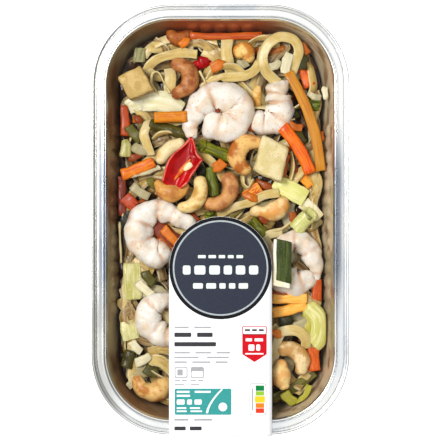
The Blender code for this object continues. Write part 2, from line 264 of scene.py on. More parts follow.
def newGroup(name, inputs, outputName, outputKind):
    group = bpy.data.node_groups.new(name, "ShaderNodeTree")
    for label, kind, value in inputs:
        socket = group.interface.new_socket(label, in_out="INPUT", socket_type=kind)
        if value is not None:
            socket.default_value = value
    group.interface.new_socket(outputName, in_out="OUTPUT", socket_type=outputKind)
    return group, put(group, "NodeGroupInput").outputs


def closeGroup(group, socket):
    put(group, "NodeGroupOutput", {0: socket})
    return group


def makeMottle():
    # soft-edged patches: 0 outside them and 1 inside
    group, given = newGroup("mottle", [
        ("Vector", "NodeSocketVector", None), ("Scale", "NodeSocketFloat", 200.0),
        ("Low", "NodeSocketFloat", 0.45),
        ("High", "NodeSocketFloat", 0.6), ("Stretch", "NodeSocketVector", (1, 1, 1)),
    ], "Mask", "NodeSocketFloat")
    stretched = put(group, "ShaderNodeVectorMath", {0: given["Vector"], 1: given["Stretch"]},
                    operation="MULTIPLY")
    cloud = put(group, "ShaderNodeTexNoise",
                {"Vector": stretched.outputs[0], "Scale": given["Scale"], "Detail": 3.0})
    return closeGroup(group, slope(group, cloud.outputs["Fac"], given["Low"], given["High"],
                                   kind="SMOOTHSTEP"))


def makeGrain():
    # a fine relief for the shading only, over what the mesh already has
    group, given = newGroup("grain", [
        ("Vector", "NodeSocketVector", None), ("Scale", "NodeSocketFloat", 900.0),
        ("Depth", "NodeSocketFloat", 0.2),
        ("Stretch", "NodeSocketVector", (1, 1, 1)),
    ], "Normal", "NodeSocketVector")
    stretched = put(group, "ShaderNodeVectorMath", {0: given["Vector"], 1: given["Stretch"]},
                    operation="MULTIPLY")
    cloud = put(group, "ShaderNodeTexNoise",
                {"Vector": stretched.outputs[0], "Scale": given["Scale"], "Detail": 4.0})
    bump = put(group, "ShaderNodeBump", {
        "Height": cloud.outputs["Fac"], "Strength": given["Depth"], "Distance": 0.0006,
    })
    return closeGroup(group, bump.outputs["Normal"])


mottle, grain = makeMottle(), makeGrain()


def newMaterial(name, roughness, **settings):
    material = bpy.data.materials.new(name)
    material.use_nodes = True
    shader = material.node_tree.nodes["Principled BSDF"]
    shader.inputs["Roughness"].default_value = roughness
    for key, value in settings.items():
        shader.inputs[key].default_value = value
    return material, material.node_tree, shader


def patches(tree, vector, scale, low, high, stretch=(1, 1, 1)):
    node = put(tree, "ShaderNodeGroup", node_tree=mottle)
    for key, value in (("Scale", scale), ("Low", low), ("High", high), ("Stretch", stretch)):
        node.inputs[key].default_value = value
    tree.links.new(vector, node.inputs["Vector"])
    return node.outputs[0]


def relief(tree, shader, vector, scale, depth, stretch=(1, 1, 1)):
    node = put(tree, "ShaderNodeGroup", node_tree=grain)
    for key, value in (("Scale", scale), ("Depth", depth), ("Stretch", stretch)):
        node.inputs[key].default_value = value
    tree.links.new(vector, node.inputs["Vector"])
    tree.links.new(node.outputs[0], shader.inputs["Normal"])


def foodMaterial(name, look):
    # a base colour with patches of a second one and fine specks of a third
    wet = look.get("wet", 0.2)
    material, tree, shader = newMaterial(name, look.get("roughness", 0.45), **{
        "Coat Weight": wet * 0.35, "Coat Roughness": 0.12, "Specular IOR Level": 0.18,
        "Subsurface Weight": look.get("glow", 0.0),
        "Subsurface Scale": 0.003, "Subsurface Radius": (1.0, 0.6, 0.4),
    })
    place = put(tree, "ShaderNodeTexCoord")
    vector = place.outputs["UV" if look.get("along") else "Object"]
    stretch = look.get("stretch", (1, 1, 1))
    low, high = look.get("edge", (0.45, 0.6))
    seedShift = put(tree, "ShaderNodeMapping", {"Vector": vector, "Location": (look.get("seed", 0), 0, 0)})
    vector = seedShift.outputs[0]
    colour = mixColour(tree, patches(tree, vector, look["patch"], low, high, stretch), deep(*look["base"]),
                       deep(*look["second"]))
    if "speck" in look:
        fine = patches(tree, place.outputs["Object"], look.get("speckSize", 900),
                       *look.get("speckEdge", (0.6, 0.7)))
        colour = mixColour(tree, fine, colour, deep(*look["speck"]))
    tree.links.new(colour, shader.inputs["Base Color"])
    relief(tree, shader, place.outputs["Object"], look.get("grain", 900), look.get("grainDepth", 0.25))
    return material


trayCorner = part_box("tray")[1] / mm
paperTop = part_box("label")[1] / mm

# Foil tray
tray = {
    "rimRadius": 41.0, "flange": 7.6, "taper": 12.5, "skin": 0.5,
    "flutePitch": 7.1, "fluteDepth": 1.0, "fluteTop": 34.5, "fluteFoot": 6.0, "fluteArch": 4.0,
    "longFlutes": 14, "shortFlutes": 5, "pointsPerFlute": 10, "pointsPerCorner": 26,
    "heights": [3, 5, 8, 12, 17, 22, 26, 29, 30, 31, 32, 33, 34, 35, 36.5, 38, 39.2], "floorRows": 6,
}


def rimWalk():
    # once round the rim: each point, the way inwards there, and how many flutes it has passed
    corner = trayCorner
    walk = []
    for side in range(4):
        turn = Matrix.Rotation(side * math.pi / 2, 3, "Z")
        out = corner[side % 2]
        straight = corner[1 - side % 2] - tray["rimRadius"]
        flutes = tray["longFlutes"] if side % 2 == 0 else tray["shortFlutes"]
        run = flutes * tray["flutePitch"] / 2
        steps = flutes * tray["pointsPerFlute"]
        alongs = [-straight, -(straight + run) / 2]
        alongs += [-run + 2 * run * k / steps for k in range(steps + 1)]
        alongs.append((straight + run) / 2)
        for along in alongs:
            passed = max(0, min(flutes, (along + run) / tray["flutePitch"]))
            walk.append((turn @ Vector((out, along, 0)), turn @ Vector((-1, 0, 0)), passed))
        for k in range(tray["pointsPerCorner"]):
            angle = math.pi / 2 * k / tray["pointsPerCorner"]
            spoke = Vector((math.cos(angle), math.sin(angle), 0))
            centre = Vector((out - tray["rimRadius"], straight, 0))
            walk.append((turn @ (centre + spoke * tray["rimRadius"]), turn @ -spoke, 0))
    return walk


def wallInset(height):
    return tray["flange"] + 1 + (39 - height) * math.tan(math.radians(tray["taper"]))


def keepInside(piece):
    # points that would reach into the wall are drawn back to just inside it
    for vert in piece.data.vertices:
        x, y, z = vert.co / mm
        radius = tray["rimRadius"] - wallInset(z) - tray["fluteDepth"] - 0.3
        reach = Vector((max(abs(x) - trayCorner.x + tray["rimRadius"], 0),
                        max(abs(y) - trayCorner.y + tray["rimRadius"], 0)))
        if reach.length > radius:
            pull = reach * (1 - radius / reach.length) * mm
            vert.co.x -= math.copysign(pull.x, x)
            vert.co.y -= math.copysign(pull.y, y)
    return piece


def fluteAt(passed, height):
    # flutes bulge inwards and end in a round arch under the flange
    lobe = abs(math.sin(math.pi * passed))
    arch = tray["fluteTop"] - tray["fluteArch"] * (1 - lobe) ** 1.5
    fade = smooth((arch - height) / 1.6) * smooth((height - tray["fluteFoot"]) / 4)
    return tray["fluteDepth"] * lobe ** 0.8 * fade


def traySection():
    # rows of inset, height, whether flutes show, and the share of the way out from the tray's middle
    skin, bead, heights = tray["skin"], tray["flange"], tray["heights"]
    rows = [(wallInset(3) + 2.2, 0.5, 0, share) for share in (0.0, 0.4, 0.8, 0.97, 1.0)]
    rows.append((wallInset(3) + 0.8, 1.0, 0, 1))
    rows += [(wallInset(height), height, 1, 1) for height in heights]
    rows += [(bead + over, 40 + rise, 0, 1) for over, rise in (
        (0.42, -0.25), (0.36, 0.3), (0.2, 0.6), (-0.1, 0.72), (-0.4, 0.72), (-0.75, 0.55), (-1.0, 0.2),
        (-1.3, 0.0),
    )]
    rows += [(inset, 40 + rise, 0, 1) for inset, rise in (
        (5.2, 0.0), (3.8, 0.03), (2.8, 0.0), (2.5, -0.45), (2.2, -0.5), (1.95, 0.0), (1.75, 0.5), (1.4, 0.8),
        (1.0, 0.9), (0.55, 0.8), (0.2, 0.42), (0.0, -0.1), (0.0, -0.6), (0.2, -1.15), (0.6, -1.5),
        (1.1, -1.6),
        (1.5, -1.4), (1.7, -0.95), (2.4, -0.5), (4.5, -0.5), (6.6, -0.5),
    )]
    rows += [(wallInset(height) - skin / math.cos(math.radians(tray["taper"])), height, 1, 1)
             for height in heights[::-1]]
    rows += [(wallInset(3) - 0.2, 1.4, 0, 1), (wallInset(3) + 0.5, 0.4, 0, 1)]
    rows += [(wallInset(3) + 1.6, height, 0, share) for height, share in (
        (0.0, 1.0), (0.0, 0.93), (0.2, 0.9), (0.2, 0.5), (0.2, 0.0),
    )]
    return rows


def shapeTray():
    walk, rows = rimWalk(), traySection()

    def place(column, row):
        point, inwards, passed = walk[column % len(walk)]
        inset, height, fluted, share = rows[row]
        depth = fluteAt(passed, height) if fluted else 0
        spot = (point + inwards * (inset + depth)) * share
        return Vector((spot.x, spot.y, height))

    return gridPiece("foilTray", len(walk), len(rows) - 1, place)


foilTones = {
    "bright": (238, 239, 236), "cool": (222, 225, 228), "left": (186, 186, 182), "darkReflection": (124, 131, 142),
    "outside": (150, 154, 159), "shadedLeftWall": (128, 92, 56), "litRightWall": (214, 194, 160),
    "stain": (152, 120, 84), "sauce": (166, 150, 116), "foodReflection": (176, 82, 30),
}


def foilMaterial():
    material, tree, shader = newMaterial("rolled foil", 0.3, Metallic=1.0)
    tones = {name: tint(*tone) for name, tone in foilTones.items()}
    place = put(tree, "ShaderNodeTexCoord").outputs["Object"]
    x, y, z = put(tree, "ShaderNodeSeparateXYZ", {0: place}).outputs
    fromMiddle, fromCentre = maths(tree, "ABSOLUTE", x), maths(tree, "ABSOLUTE", y)
    colour = mixColour(tree, patches(tree, place, 28, 0.4, 0.65), tones["bright"], tones["cool"])
    # painted shade: the left end of the rim is made darker
    leftShadeShare = slope(tree, x, -45 * mm, -60 * mm, kind="SMOOTHSTEP")
    colour = mixColour(tree, leftShadeShare, colour, tones["left"])
    # painted reflection: the inside of the long rims is darker halfway along, standing in for darker things
    # mirrored there
    inner = slope(tree, fromMiddle, 63.2 * mm, 60.5 * mm, kind="SMOOTHSTEP")
    halfway = slope(tree, fromCentre, 60 * mm, 20 * mm, high=0.95, kind="SMOOTHSTEP")
    colour = mixColour(tree, maths(tree, "MULTIPLY", inner, halfway), colour, tones["darkReflection"])
    # the inside of the walls is tinted warm, partly as a film of sauce and partly as painted reflection of
    # the food, and the outside carries painted shade
    insideRows = tray["floorRows"] + len(tray["heights"])
    row = put(tree, "ShaderNodeAttribute", attribute_name="row").outputs["Fac"]
    inside = slope(tree, row, insideRows + 1, insideRows)
    # painted shade: below the rim the foil is grey, so the groove, the underside of the curl and the outside
    # of the wall look darker
    below = slope(tree, z, 39.7 * mm, 38.6 * mm, kind="SMOOTHSTEP")
    colour = mixColour(tree, below, colour, tones["outside"])
    wallShare = maths(tree, "MULTIPLY", inside, below)
    # painted shade on the left wall and painted light on the right wall, as the light comes from the left
    shadeToLight = slope(tree, x, -55 * mm, 60 * mm, kind="SMOOTHSTEP")
    wall = mixColour(tree, shadeToLight, tones["shadedLeftWall"], tones["litRightWall"])
    wall = mixColour(tree, patches(tree, place, 90, 0.46, 0.66, (1, 1, 2)), wall, tones["stain"])
    wall = mixColour(tree, patches(tree, place, 30, 0.5, 0.62), wall, tones["sauce"])
    # painted reflection: the flutes at the far end take a red-orange reflection of the food
    farEnd = slope(tree, y, 90 * mm, 97 * mm, kind="SMOOTHSTEP")
    fluted = slope(tree, fromMiddle, 40 * mm, 20 * mm, high=0.9, kind="SMOOTHSTEP")
    wall = mixColour(tree, maths(tree, "MULTIPLY", farEnd, fluted), wall, tones["foodReflection"])
    tree.links.new(mixColour(tree, wallShare, colour, wall), shader.inputs["Base Color"])
    tree.links.new(maths(tree, "MULTIPLY_ADD", wallShare, -0.75, 1.0), shader.inputs["Metallic"])
    rough = slope(tree, patches(tree, place, 60, 0.3, 0.7), 0, 1, 0.22, 0.3)
    tree.links.new(maths(tree, "MULTIPLY_ADD", wallShare, 0.25, rough), shader.inputs["Roughness"])
    relief(tree, shader, place, 140, 0.05)
    return material


foilTray = dress(shapeTray(), foilMaterial())
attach(foilTray, "root")
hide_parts("tray")
print("tray shaped")


# Lidding film: the frame's own sheet, clear from above and catching the light at a slant


def filmMaterial():
    material, tree, shader = newMaterial("clear film", 0.12, **{"Base Color": (1, 1, 1, 1)})
    place = put(tree, "ShaderNodeTexCoord").outputs["Object"]
    facing = put(tree, "ShaderNodeLayerWeight", {"Blend": 0.25}).outputs["Facing"]
    haze = slope(tree, facing, 0, 1, 0.001, 0.25)
    ripple = slope(tree, patches(tree, place, 35, 0.4, 0.7), 0, 1, 0.8, 1.2)
    tree.links.new(maths(tree, "MULTIPLY", haze, ripple), shader.inputs["Alpha"])
    relief(tree, shader, place, 45, 0.2)
    return material


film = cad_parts["film"]
dress(film, filmMaterial())


# Paper label with its printed fields of colour
label = {"foldRadius": 1.3, "thick": 0.25, "belowRim": 2.4, "tail": 26.0, "lean": 30.0, "headSteps": 30}


def shapeLabel():
    low, high = (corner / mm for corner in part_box("label"))
    halfWidth, middle = high.x, high.z - label["thick"] / 2
    headY = high.y - halfWidth
    fold = label["foldRadius"]
    foldY = low.y + fold + label["thick"] / 2
    rows = []
    for k in range(label["headSteps"] + 1):
        angle = math.pi / 2 * (1 - k / label["headSteps"])
        rows.append((headY + halfWidth * math.sin(angle), middle, halfWidth * math.cos(angle)))
    rows += [(headY + (foldY - headY) * share, middle, halfWidth) for share in (0.2, 0.4, 0.6, 0.8, 1.0)]
    for k in range(1, 8):
        angle = math.pi / 2 * k / 7
        rows.append((foldY - fold * math.sin(angle), middle - fold * (1 - math.cos(angle)), halfWidth))
    edgeY, rimUnder = foldY - fold, 40 - label["belowRim"]
    rows.append((edgeY, (middle - fold + rimUnder) / 2, halfWidth))
    rows.append((edgeY, rimUnder, halfWidth))
    lean = math.radians(label["lean"])
    for k in range(1, 7):
        run = label["tail"] * k / 6
        rows.append((edgeY + math.sin(lean) * run, rimUnder - math.cos(lean) * run, halfWidth))
    columns = 16

    def place(column, row):
        y, z, half = rows[row]
        return Vector(((column / columns * 2 - 1) * half, y, z))

    sheet = gridPiece("paperLabel", columns, len(rows) - 1, place)
    bpy.context.view_layer.objects.active = sheet
    solidify = sheet.modifiers.new("thickness", "SOLIDIFY")
    solidify.thickness = label["thick"] * mm
    solidify.offset = 0
    bpy.ops.object.modifier_apply(modifier=solidify.name)
    bpy.ops.object.shade_smooth_by_angle(angle=math.radians(40))
    return sheet


def paperMaterial(name, colour, second, roughness):
    material, tree, shader = newMaterial(name, roughness, **{"Specular IOR Level": 0.12})
    place = put(tree, "ShaderNodeTexCoord").outputs["Object"]
    colour = mixColour(tree, patches(tree, place, 900, 0.35, 0.7), tint(*colour), tint(*second))
    tree.links.new(colour, shader.inputs["Base Color"])
    relief(tree, shader, place, 2500, 0.06)
    return material


# Each ink and its slightly uneven second tone
inks = {
    "black": ((9, 9, 14), (14, 14, 20)),
    "silver": ((168, 176, 180), (178, 186, 190)),
    "navy": ((44, 48, 62), (48, 52, 66)),
    "pale": ((226, 236, 228), (216, 228, 220)),
    "charcoal": ((52, 52, 56), (60, 60, 64)),
    "grey": ((160, 160, 164), (170, 170, 174)),
    "teal": ((54, 150, 146), (60, 156, 152)),
    "white": ((250, 250, 250), (245, 245, 245)),
    "red": ((204, 6, 24), (196, 4, 22)),
    "green": ((0, 122, 60), (4, 128, 66)),
    "lime": ((140, 190, 50), (146, 194, 58)),
    "yellow": ((250, 204, 40), (248, 198, 34)),
    "orange": ((238, 130, 30), (234, 124, 26)),
    "brick": ((222, 60, 30), (216, 54, 28)),
}
inkNames = list(inks)


def inkShape(outline, ink, level):
    # a flat field of colour with the given corners, a hair above the paper
    bpy.ops.mesh.primitive_circle_add(vertices=len(outline), radius=1, fill_type="NGON")
    field = bpy.context.object
    base = (paperTop.z + level * 0.03) * mm
    for vert, (x, y) in zip(field.data.vertices, outline):
        vert.co = Vector((x * mm, y * mm, base))
    bpy.ops.object.mode_set(mode="EDIT")
    bpy.ops.mesh.select_all(action="SELECT")
    bpy.ops.mesh.extrude_region_move(TRANSFORM_OT_translate={"value": (0, 0, 0.025 * mm)})
    bpy.ops.mesh.select_all(action="SELECT")
    bpy.ops.mesh.normals_make_consistent(inside=False)
    bpy.ops.object.mode_set(mode="OBJECT")
    for name in inkNames:
        field.data.materials.append(inkMaterials[name])
    for face in field.data.polygons:
        face.material_index = inkNames.index(ink)
    field.select_set(False)
    return field


def discOutline(x, y, radius, count=120):
    return [
        (x + radius * math.cos(2 * math.pi * k / count), y + radius * math.sin(2 * math.pi * k / count))
        for k in range(count)
    ]


def blockOutline(left, bottom, right, top, corner=0.0):
    if not corner:
        return [(left, bottom), (right, bottom), (right, top), (left, top)]
    outline = []
    for x, y, start in (
        (right - corner, bottom + corner, -90), (right - corner, top - corner, 0),
        (left + corner, top - corner, 90), (left + corner, bottom + corner, 180),
    ):
        for k in range(6):
            angle = math.radians(start + 90 * k / 5)
            outline.append((x + corner * math.cos(angle), y + corner * math.sin(angle)))
    return outline


def printedRow(left, right, top, height, ink, level, blocks, seed):
    # a row of plain blocks of uneven length, as printed lines look from afar
    chooser = random.Random(seed)
    gap = (right - left) / blocks * 0.3
    lengths = [chooser.uniform(0.75, 1.25) for _ in range(blocks)]
    unit = (right - left - gap * (blocks - 1)) / sum(lengths)
    x = left
    row = []
    for length in lengths:
        outline = blockOutline(x, top - height, x + unit * length, top, height * 0.22)
        row.append(inkShape(outline, ink, level))
        x += unit * length + gap
    return row


# Rows of print: left, right, top, height, ink, level, number of blocks
printedRows = [
    (-11.5, 11.5, -18.1, 1.6, "pale", 4, 5), (-19.2, 19.2, -23.4, 4.6, "pale", 4, 6),
    (-14.0, 14.0, -32.4, 2.8, "pale", 4, 5), (-23.5, -4.8, -54.5, 0.8, "grey", 1, 2),
    (-23.5, -4.0, -57.6, 2.2, "charcoal", 1, 2), (-23.5, -2.3, -62.4, 2.2, "charcoal", 1, 1),
    (-23.5, 4.8, -67.4, 0.8, "grey", 1, 3), (-23.5, 4.2, -69.8, 0.8, "grey", 1, 2),
    (-23.5, 3.6, -72.2, 0.8, "grey", 1, 3), (-23.3, -17.2, -81.6, 0.6, "grey", 1, 2),
    (-15.1, -8.8, -81.6, 0.6, "grey", 1, 2), (-23.3, -18.6, -83.8, 0.6, "grey", 1, 1),
    (-15.1, -10.8, -83.8, 0.6, "grey", 1, 1), (-22.3, -5.0, -87.2, 1.0, "white", 2, 2),
    (-22.3, -15.5, -89.2, 1.0, "white", 2, 1), (-22.3, -9.6, -91.6, 2.6, "white", 2, 3),
    (-22.3, -10.4, -95.6, 0.8, "white", 2, 2), (-22.3, -9.4, -97.2, 0.8, "white", 2, 2),
    (-23.5, -4.3, -101.5, 0.9, "grey", 1, 2), (-23.5, -9.6, -105.4, 1.9, "charcoal", 1, 2),
    (12.4, 22.0, -55.8, 1.0, "charcoal", 3, 3), (12.8, 21.6, -60.5, 1.5, "white", 3, 2),
    (14.2, 20.2, -63.6, 3.2, "white", 3, 2), (12.6, 21.9, -68.0, 0.7, "white", 3, 1),
]

# Plain fields: left, bottom, right, top, corner radius, ink, level
printedFields = [
    (-23.4, -80.7, -16.8, -75.0, 1.0, "grey", 1), (-22.9, -80.2, -17.3, -75.5, 0.7, "white", 2),
    (-22.0, -79.4, -19.2, -76.3, 0.1, "grey", 3), (-15.2, -80.7, -8.4, -75.0, 1.0, "grey", 1),
    (-14.7, -80.2, -8.9, -77.2, 0.7, "white", 2), (-23.3, -99.4, 5.5, -86.1, 0.6, "teal", 1),
    (11.0, -58.6, 23.6, -54.2, 1.0, "red", 1), (11.4, -58.3, 23.2, -54.6, 0.8, "white", 2),
    (14.8, -99.7, 23.3, -83.4, 1.4, "grey", 1), (15.1, -99.4, 23.0, -83.7, 1.2, "white", 2),
    (16.0, -97.2, 16.7, -86.0, 0.1, "grey", 3), (17.9, -87.2, 22.2, -84.5, 0.3, "green", 3),
    (17.9, -89.6, 22.2, -87.4, 0.1, "lime", 3), (17.5, -93.2, 22.6, -89.9, 0.3, "yellow", 3),
    (17.9, -95.9, 22.2, -93.5, 0.1, "orange", 3), (17.9, -98.5, 22.2, -96.1, 0.3, "brick", 3),
]


def shapePrint():
    headY, radius = paperTop.y - paperTop.x, paperTop.x
    fields = [
        inkShape(discOutline(0, headY, radius - 0.1), "black", 1),
        inkShape(discOutline(0, headY, radius - 1.9), "silver", 2),
        inkShape(discOutline(0, headY, radius - 2.7), "navy", 3),
    ]
    for left, bottom, right, top, corner, ink, level in printedFields:
        fields.append(inkShape(blockOutline(left, bottom, right, top, corner), ink, level))
    for seed, (left, right, top, height, ink, level, blocks) in enumerate(printedRows):
        fields += printedRow(left, right, top, height, ink, level, blocks, seed)
    fields.append(inkShape([(11.1, -68.6), (17.3, -72.6), (23.5, -68.6), (23.5, -58.3), (11.1, -58.3)],
                           "red", 1))
    # a plain curved band and a disc at the right of the teal field
    band = [(-7.4 + 7.6 * (k / 8) ** 1.6, -98.6 + 12.2 * k / 8) for k in range(9)]
    fields.append(inkShape(band + [(x + 1.1, y) for x, y in band[::-1]], "white", 2))
    fields.append(inkShape(discOutline(1.2, -95.4, 2.2, 40), "white", 2))
    return joinPieces("labelPrint", fields)


paperLabel = dress(shapeLabel(), paperMaterial("label paper", (250, 250, 250), (244, 244, 244), 0.5))
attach(paperLabel, "root")
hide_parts("label")
inkMaterials = {name: paperMaterial(name + " ink", *tones, 0.4) for name, tones in inks.items()}
belong(shapePrint())
print("label printed")


# Prawns: the middle line from the thick end to the tail, with the half width at each point
prawns = {
    "prawn_1": {"line": [(-29.4, -17.4, 5.8), (-33.6, -18.6, 6.8), (-39.8, -14.2, 7.1), (-42.2, -6.8, 7.3),
        (-40.4, 0.4, 7.1), (-34.8, 4.4, 5.9), (-27.6, 4.0, 5.0), (-21.4, 1.2, 4.5), (-15.4, -2.8, 3.8),
        (-11.4, -6.0, 2.6)], "folds": 6, "seed": 1},
    "prawn_2": {"line": [(-22.0, -59.4, 5.8), (-29.0, -59.2, 6.5), (-36.4, -54.0, 6.9),
        (-35.6, -45.6, 6.5), (-28.6, -41.8, 5.4), (-21.6, -44.4, 4.2), (-18.6, -50.0, 2.8)], "folds": 5,
        "seed": 2},
    "prawn_3": {"line": [(44.2, -31.0, 5.6), (38.2, -32.4, 8.0), (31.4, -28.6, 7.0), (29.8, -20.4, 5.6),
        (32.6, -13.2, 5.2), (38.2, -11.0, 5.4), (43.8, -13.2, 5.6), (47.2, -18.4, 5.2), (49.2, -24.2, 3.8),
        (49.8, -29.2, 2.0)], "folds": 6, "seed": 3},
    "prawn_4": {"line": [(-4.4, 48.4, 6.9), (3.0, 47.0, 7.7), (9.0, 51.6, 7.5), (9.2, 58.8, 7.6),
        (2.8, 63.0, 7.4), (-5.4, 62.4, 7.2), (-11.2, 57.2, 6.4), (-14.6, 50.4, 5.2), (-15.0, 43.4, 3.0)],
        "folds": 6, "seed": 4},
    "prawn_5": {"line": [(18.6, 49.8, 5.8), (24.2, 49.2, 6.3), (29.4, 52.8, 7.1), (30.0, 59.4, 7.2),
        (29.4, 64.6, 6.6), (31.8, 68.6, 3.8), (34.0, 70.8, 1.6)], "folds": 5, "seed": 5},
}


def shapePrawn(node, look):
    path = smoothPath([(x, y, 0, half, half * 0.8, 0) for x, y, half in look["line"]], 72)
    centre = Vector((sum(row[0] for row in path), sum(row[1] for row in path), 0)) / len(path)
    folds = look["folds"]
    shuffle = random.Random(look["seed"])
    creases = [((k + 0.5 + shuffle.uniform(-0.22, 0.22)) / folds,
                shuffle.uniform(0.5, 1.2)) for k in range(folds)]

    def mould(share, angle):
        # flesh swells between creases that run in from the belly and fade over the back
        belly = 0.5 + 0.5 * math.cos(angle) * bellySide
        dip = sum(depth * math.exp(-((share - at) * folds / 0.13) ** 2) for at, depth in creases)
        return 1 - (0.035 + 0.22 * belly ** 2) * dip * (share < 0.97)

    ahead = Vector(path[36][:3]) - Vector(path[34][:3])
    side = ahead.cross(up)
    bellySide = 1 if side.dot(centre - Vector(path[35][:3])) > 0 else -1
    piece = sweepPiece(node, path, 28, square=2.1, mould=mould)
    roughen(piece, 7.0, 1.5, look["seed"])
    roughen(piece, 3.0, 0.6, look["seed"] + 9)
    return piece, bellySide, creases


def prawnMaterial(name, seed, bellySide, creases):
    material, tree, shader = newMaterial(name, 0.38, **{
        "Coat Weight": 0.2, "Coat Roughness": 0.15, "Specular IOR Level": 0.25, "Subsurface Weight": 0.06,
        "Subsurface Scale": 0.002,
        "Subsurface Radius": (1.0, 0.8, 0.6),
    })
    place = put(tree, "ShaderNodeTexCoord")
    shift = put(tree, "ShaderNodeMapping",
                {"Vector": place.outputs["Object"], "Location": (seed * 0.37, 0, 0)})
    vector = shift.outputs[0]
    colour = mixColour(tree, patches(tree, vector, 130, 0.42, 0.7), deep(238, 232, 222), deep(232, 215, 192))
    # peach lines across the body at the creases, partly the prawn's own colour and partly painted shade in
    # the creases, strongest towards the belly and broken up by patches
    apart = put(tree, "ShaderNodeSeparateXYZ", {0: place.outputs["UV"]})
    lengthwise = slope(tree, apart.outputs["Y"], 0.055, 0.945)  # without the rounded ends
    creaseShadeRamp = put(tree, "ShaderNodeValToRGB", {0: lengthwise})
    stops = creaseShadeRamp.color_ramp.elements
    stops[0].color = stops[1].color = (0, 0, 0, 1)
    for at, depth in creases:
        for offset, level in ((-0.03, 0), (0, min(1, depth)), (0.03, 0)):
            stops.new(min(0.99, max(0.01, at + offset))).color = (level, level, level, 1)
    facing = maths(tree, "COSINE", maths(tree, "MULTIPLY", apart.outputs["X"], 2 * math.pi))
    belly = slope(tree, facing, -0.8 * bellySide, bellySide, 0.5, 1.0)
    strength = maths(tree, "MULTIPLY", creaseShadeRamp.outputs[0], belly)
    broken = maths(tree, "MULTIPLY", strength, patches(tree, vector, 260, 0.2, 0.5))
    colour = mixColour(tree, broken, colour, deep(208, 156, 104))
    colour = mixColour(tree, patches(tree, vector, 420, 0.68, 0.76), colour, deep(226, 186, 142))
    veins = maths(tree, "MULTIPLY", belly, patches(tree, vector, 700, 0.64, 0.7))
    colour = mixColour(tree, veins, colour, deep(196, 146, 96))
    tree.links.new(colour, shader.inputs["Base Color"])
    relief(tree, shader, vector, 500, 0.3)
    return material


for node, look in prawns.items():
    piece, bellySide, creases = shapePrawn(node + "_curl", look)
    dress(piece, prawnMaterial(node + " flesh", look["seed"], bellySide, creases))
    settle(piece, node)
print("prawns curled")


# Cashews: back angle, radius and bend of the middle line, then widths from end to end and the colours
cashews = {
    "cashew_1": {"arc": (-100, 4.8, 165), "halves": (2.1, 3.6, 4.2, 4.0, 2.8), "nudge": (0.4, 1.7, 0),
        "base": (180, 112, 52), "second": (136, 70, 30), "patch": 210},
    "cashew_2": {"arc": (0, 7.6, 165), "halves": (3.2, 3.9, 4.7, 4.4, 3.6), "base": (164, 98, 52),
        "second": (202, 146, 92), "patch": 150},
    "cashew_3": {"arc": (60, 3.4, 120), "halves": (3.4, 4.6, 4.8, 4.0), "base": (240, 206, 134),
        "second": (214, 150, 70), "patch": 190},
    "cashew_4": {"arc": (180, 14.0, 44), "halves": (1.4, 2.3, 2.6, 2.4, 1.4), "base": (216, 164, 84),
        "second": (240, 206, 140), "patch": 200},
    "cashew_5": {"arc": (127, 13.0, 56), "halves": (3.4, 3.8, 3.7, 3.4), "base": (240, 222, 178),
        "second": (226, 196, 136), "patch": 140},
    "cashew_6": {"arc": (-95, 8.0, 124), "halves": (2.2, 3.8, 4.7, 4.0, 2.4), "base": (222, 172, 98),
        "second": (196, 134, 72), "patch": 130},
    "cashew_7": {"arc": (-35, 9.2, 118), "halves": (2.6, 3.3, 3.8, 3.9, 3.4), "base": (240, 218, 160),
        "second": (216, 172, 96), "patch": 130},
    "cashew_8": {"arc": (156, 7.6, 172), "halves": (3.2, 4.5, 5.0, 4.5, 3.5), "base": (236, 196, 128),
        "second": (192, 120, 50), "patch": 120},
    "cashew_9": {"arc": (-35, 9.0, 130), "halves": (3.4, 3.8, 3.9, 4.4, 4.0), "base": (190, 130, 84),
        "second": (218, 166, 108), "patch": 150},
    "cashew_10": {"arc": (-78, 12.0, 74), "halves": (3.2, 2.9, 4.6, 5.4, 4.2), "base": (246, 222, 172),
        "second": (228, 172, 100), "patch": 110},
    "cashew_11": {"arc": (40, 8.0, 118), "halves": (3.6, 4.4, 4.5, 4.3, 4.3), "base": (240, 218, 172),
        "second": (206, 164, 104), "patch": 110},
    "cashew_12": {"arc": (188, 17.0, 36), "halves": (3.6, 4.9, 5.2, 4.6, 3.0), "base": (250, 222, 160),
        "second": (234, 186, 120), "patch": 110, "nudge": (0, 0, 1.6)},
    "cashew_13": {"arc": (-98, 7.4, 140), "halves": (3.4, 4.2, 5.0, 5.4, 4.6), "base": (232, 196, 132),
        "second": (198, 138, 70), "patch": 110},
    "cashew_14": {"arc": (90, 4.2, 100), "halves": (2.0, 2.9, 3.0, 2.4), "base": (176, 110, 50),
        "second": (210, 150, 80), "patch": 210},
}


def shapeCashew(node, look, seed):
    back, radius, bend = look["arc"]
    halves = look["halves"]
    rows = []
    for k, half in enumerate(halves):
        angle = math.radians(back + bend * (k / (len(halves) - 1) - 0.5))
        rows.append((radius * math.cos(angle), radius * math.sin(angle), 0, half, half * 0.9, 0))

    def mould(share, angle):
        # a shallow seam runs along the inside of the bend
        inner = math.cos(angle) if bend < 0 else -math.cos(angle)
        return 1 - 0.07 * max(0.0, inner) ** 6

    piece = sweepPiece(node, smoothPath(rows, 26), 22, mould=mould)
    roughen(piece, 6.0, 0.8, seed)
    roughen(piece, 1.8, 0.16, seed + 20)
    return piece


for seed, (node, look) in enumerate(cashews.items()):
    nut = dress(shapeCashew(node + "_nut", look, seed), foodMaterial(node + " skin", {
        **look, "roughness": 0.42, "wet": 0.22, "speck": look["second"], "speckSize": 700,
        "speckEdge": (0.55, 0.75),
        "seed": seed * 0.21, "grain": 1100, "grainDepth": 0.3,
    }))
    settle(nut, node, look.get("nudge", (0, 0, 0)), centred=True)
print("cashews bent")


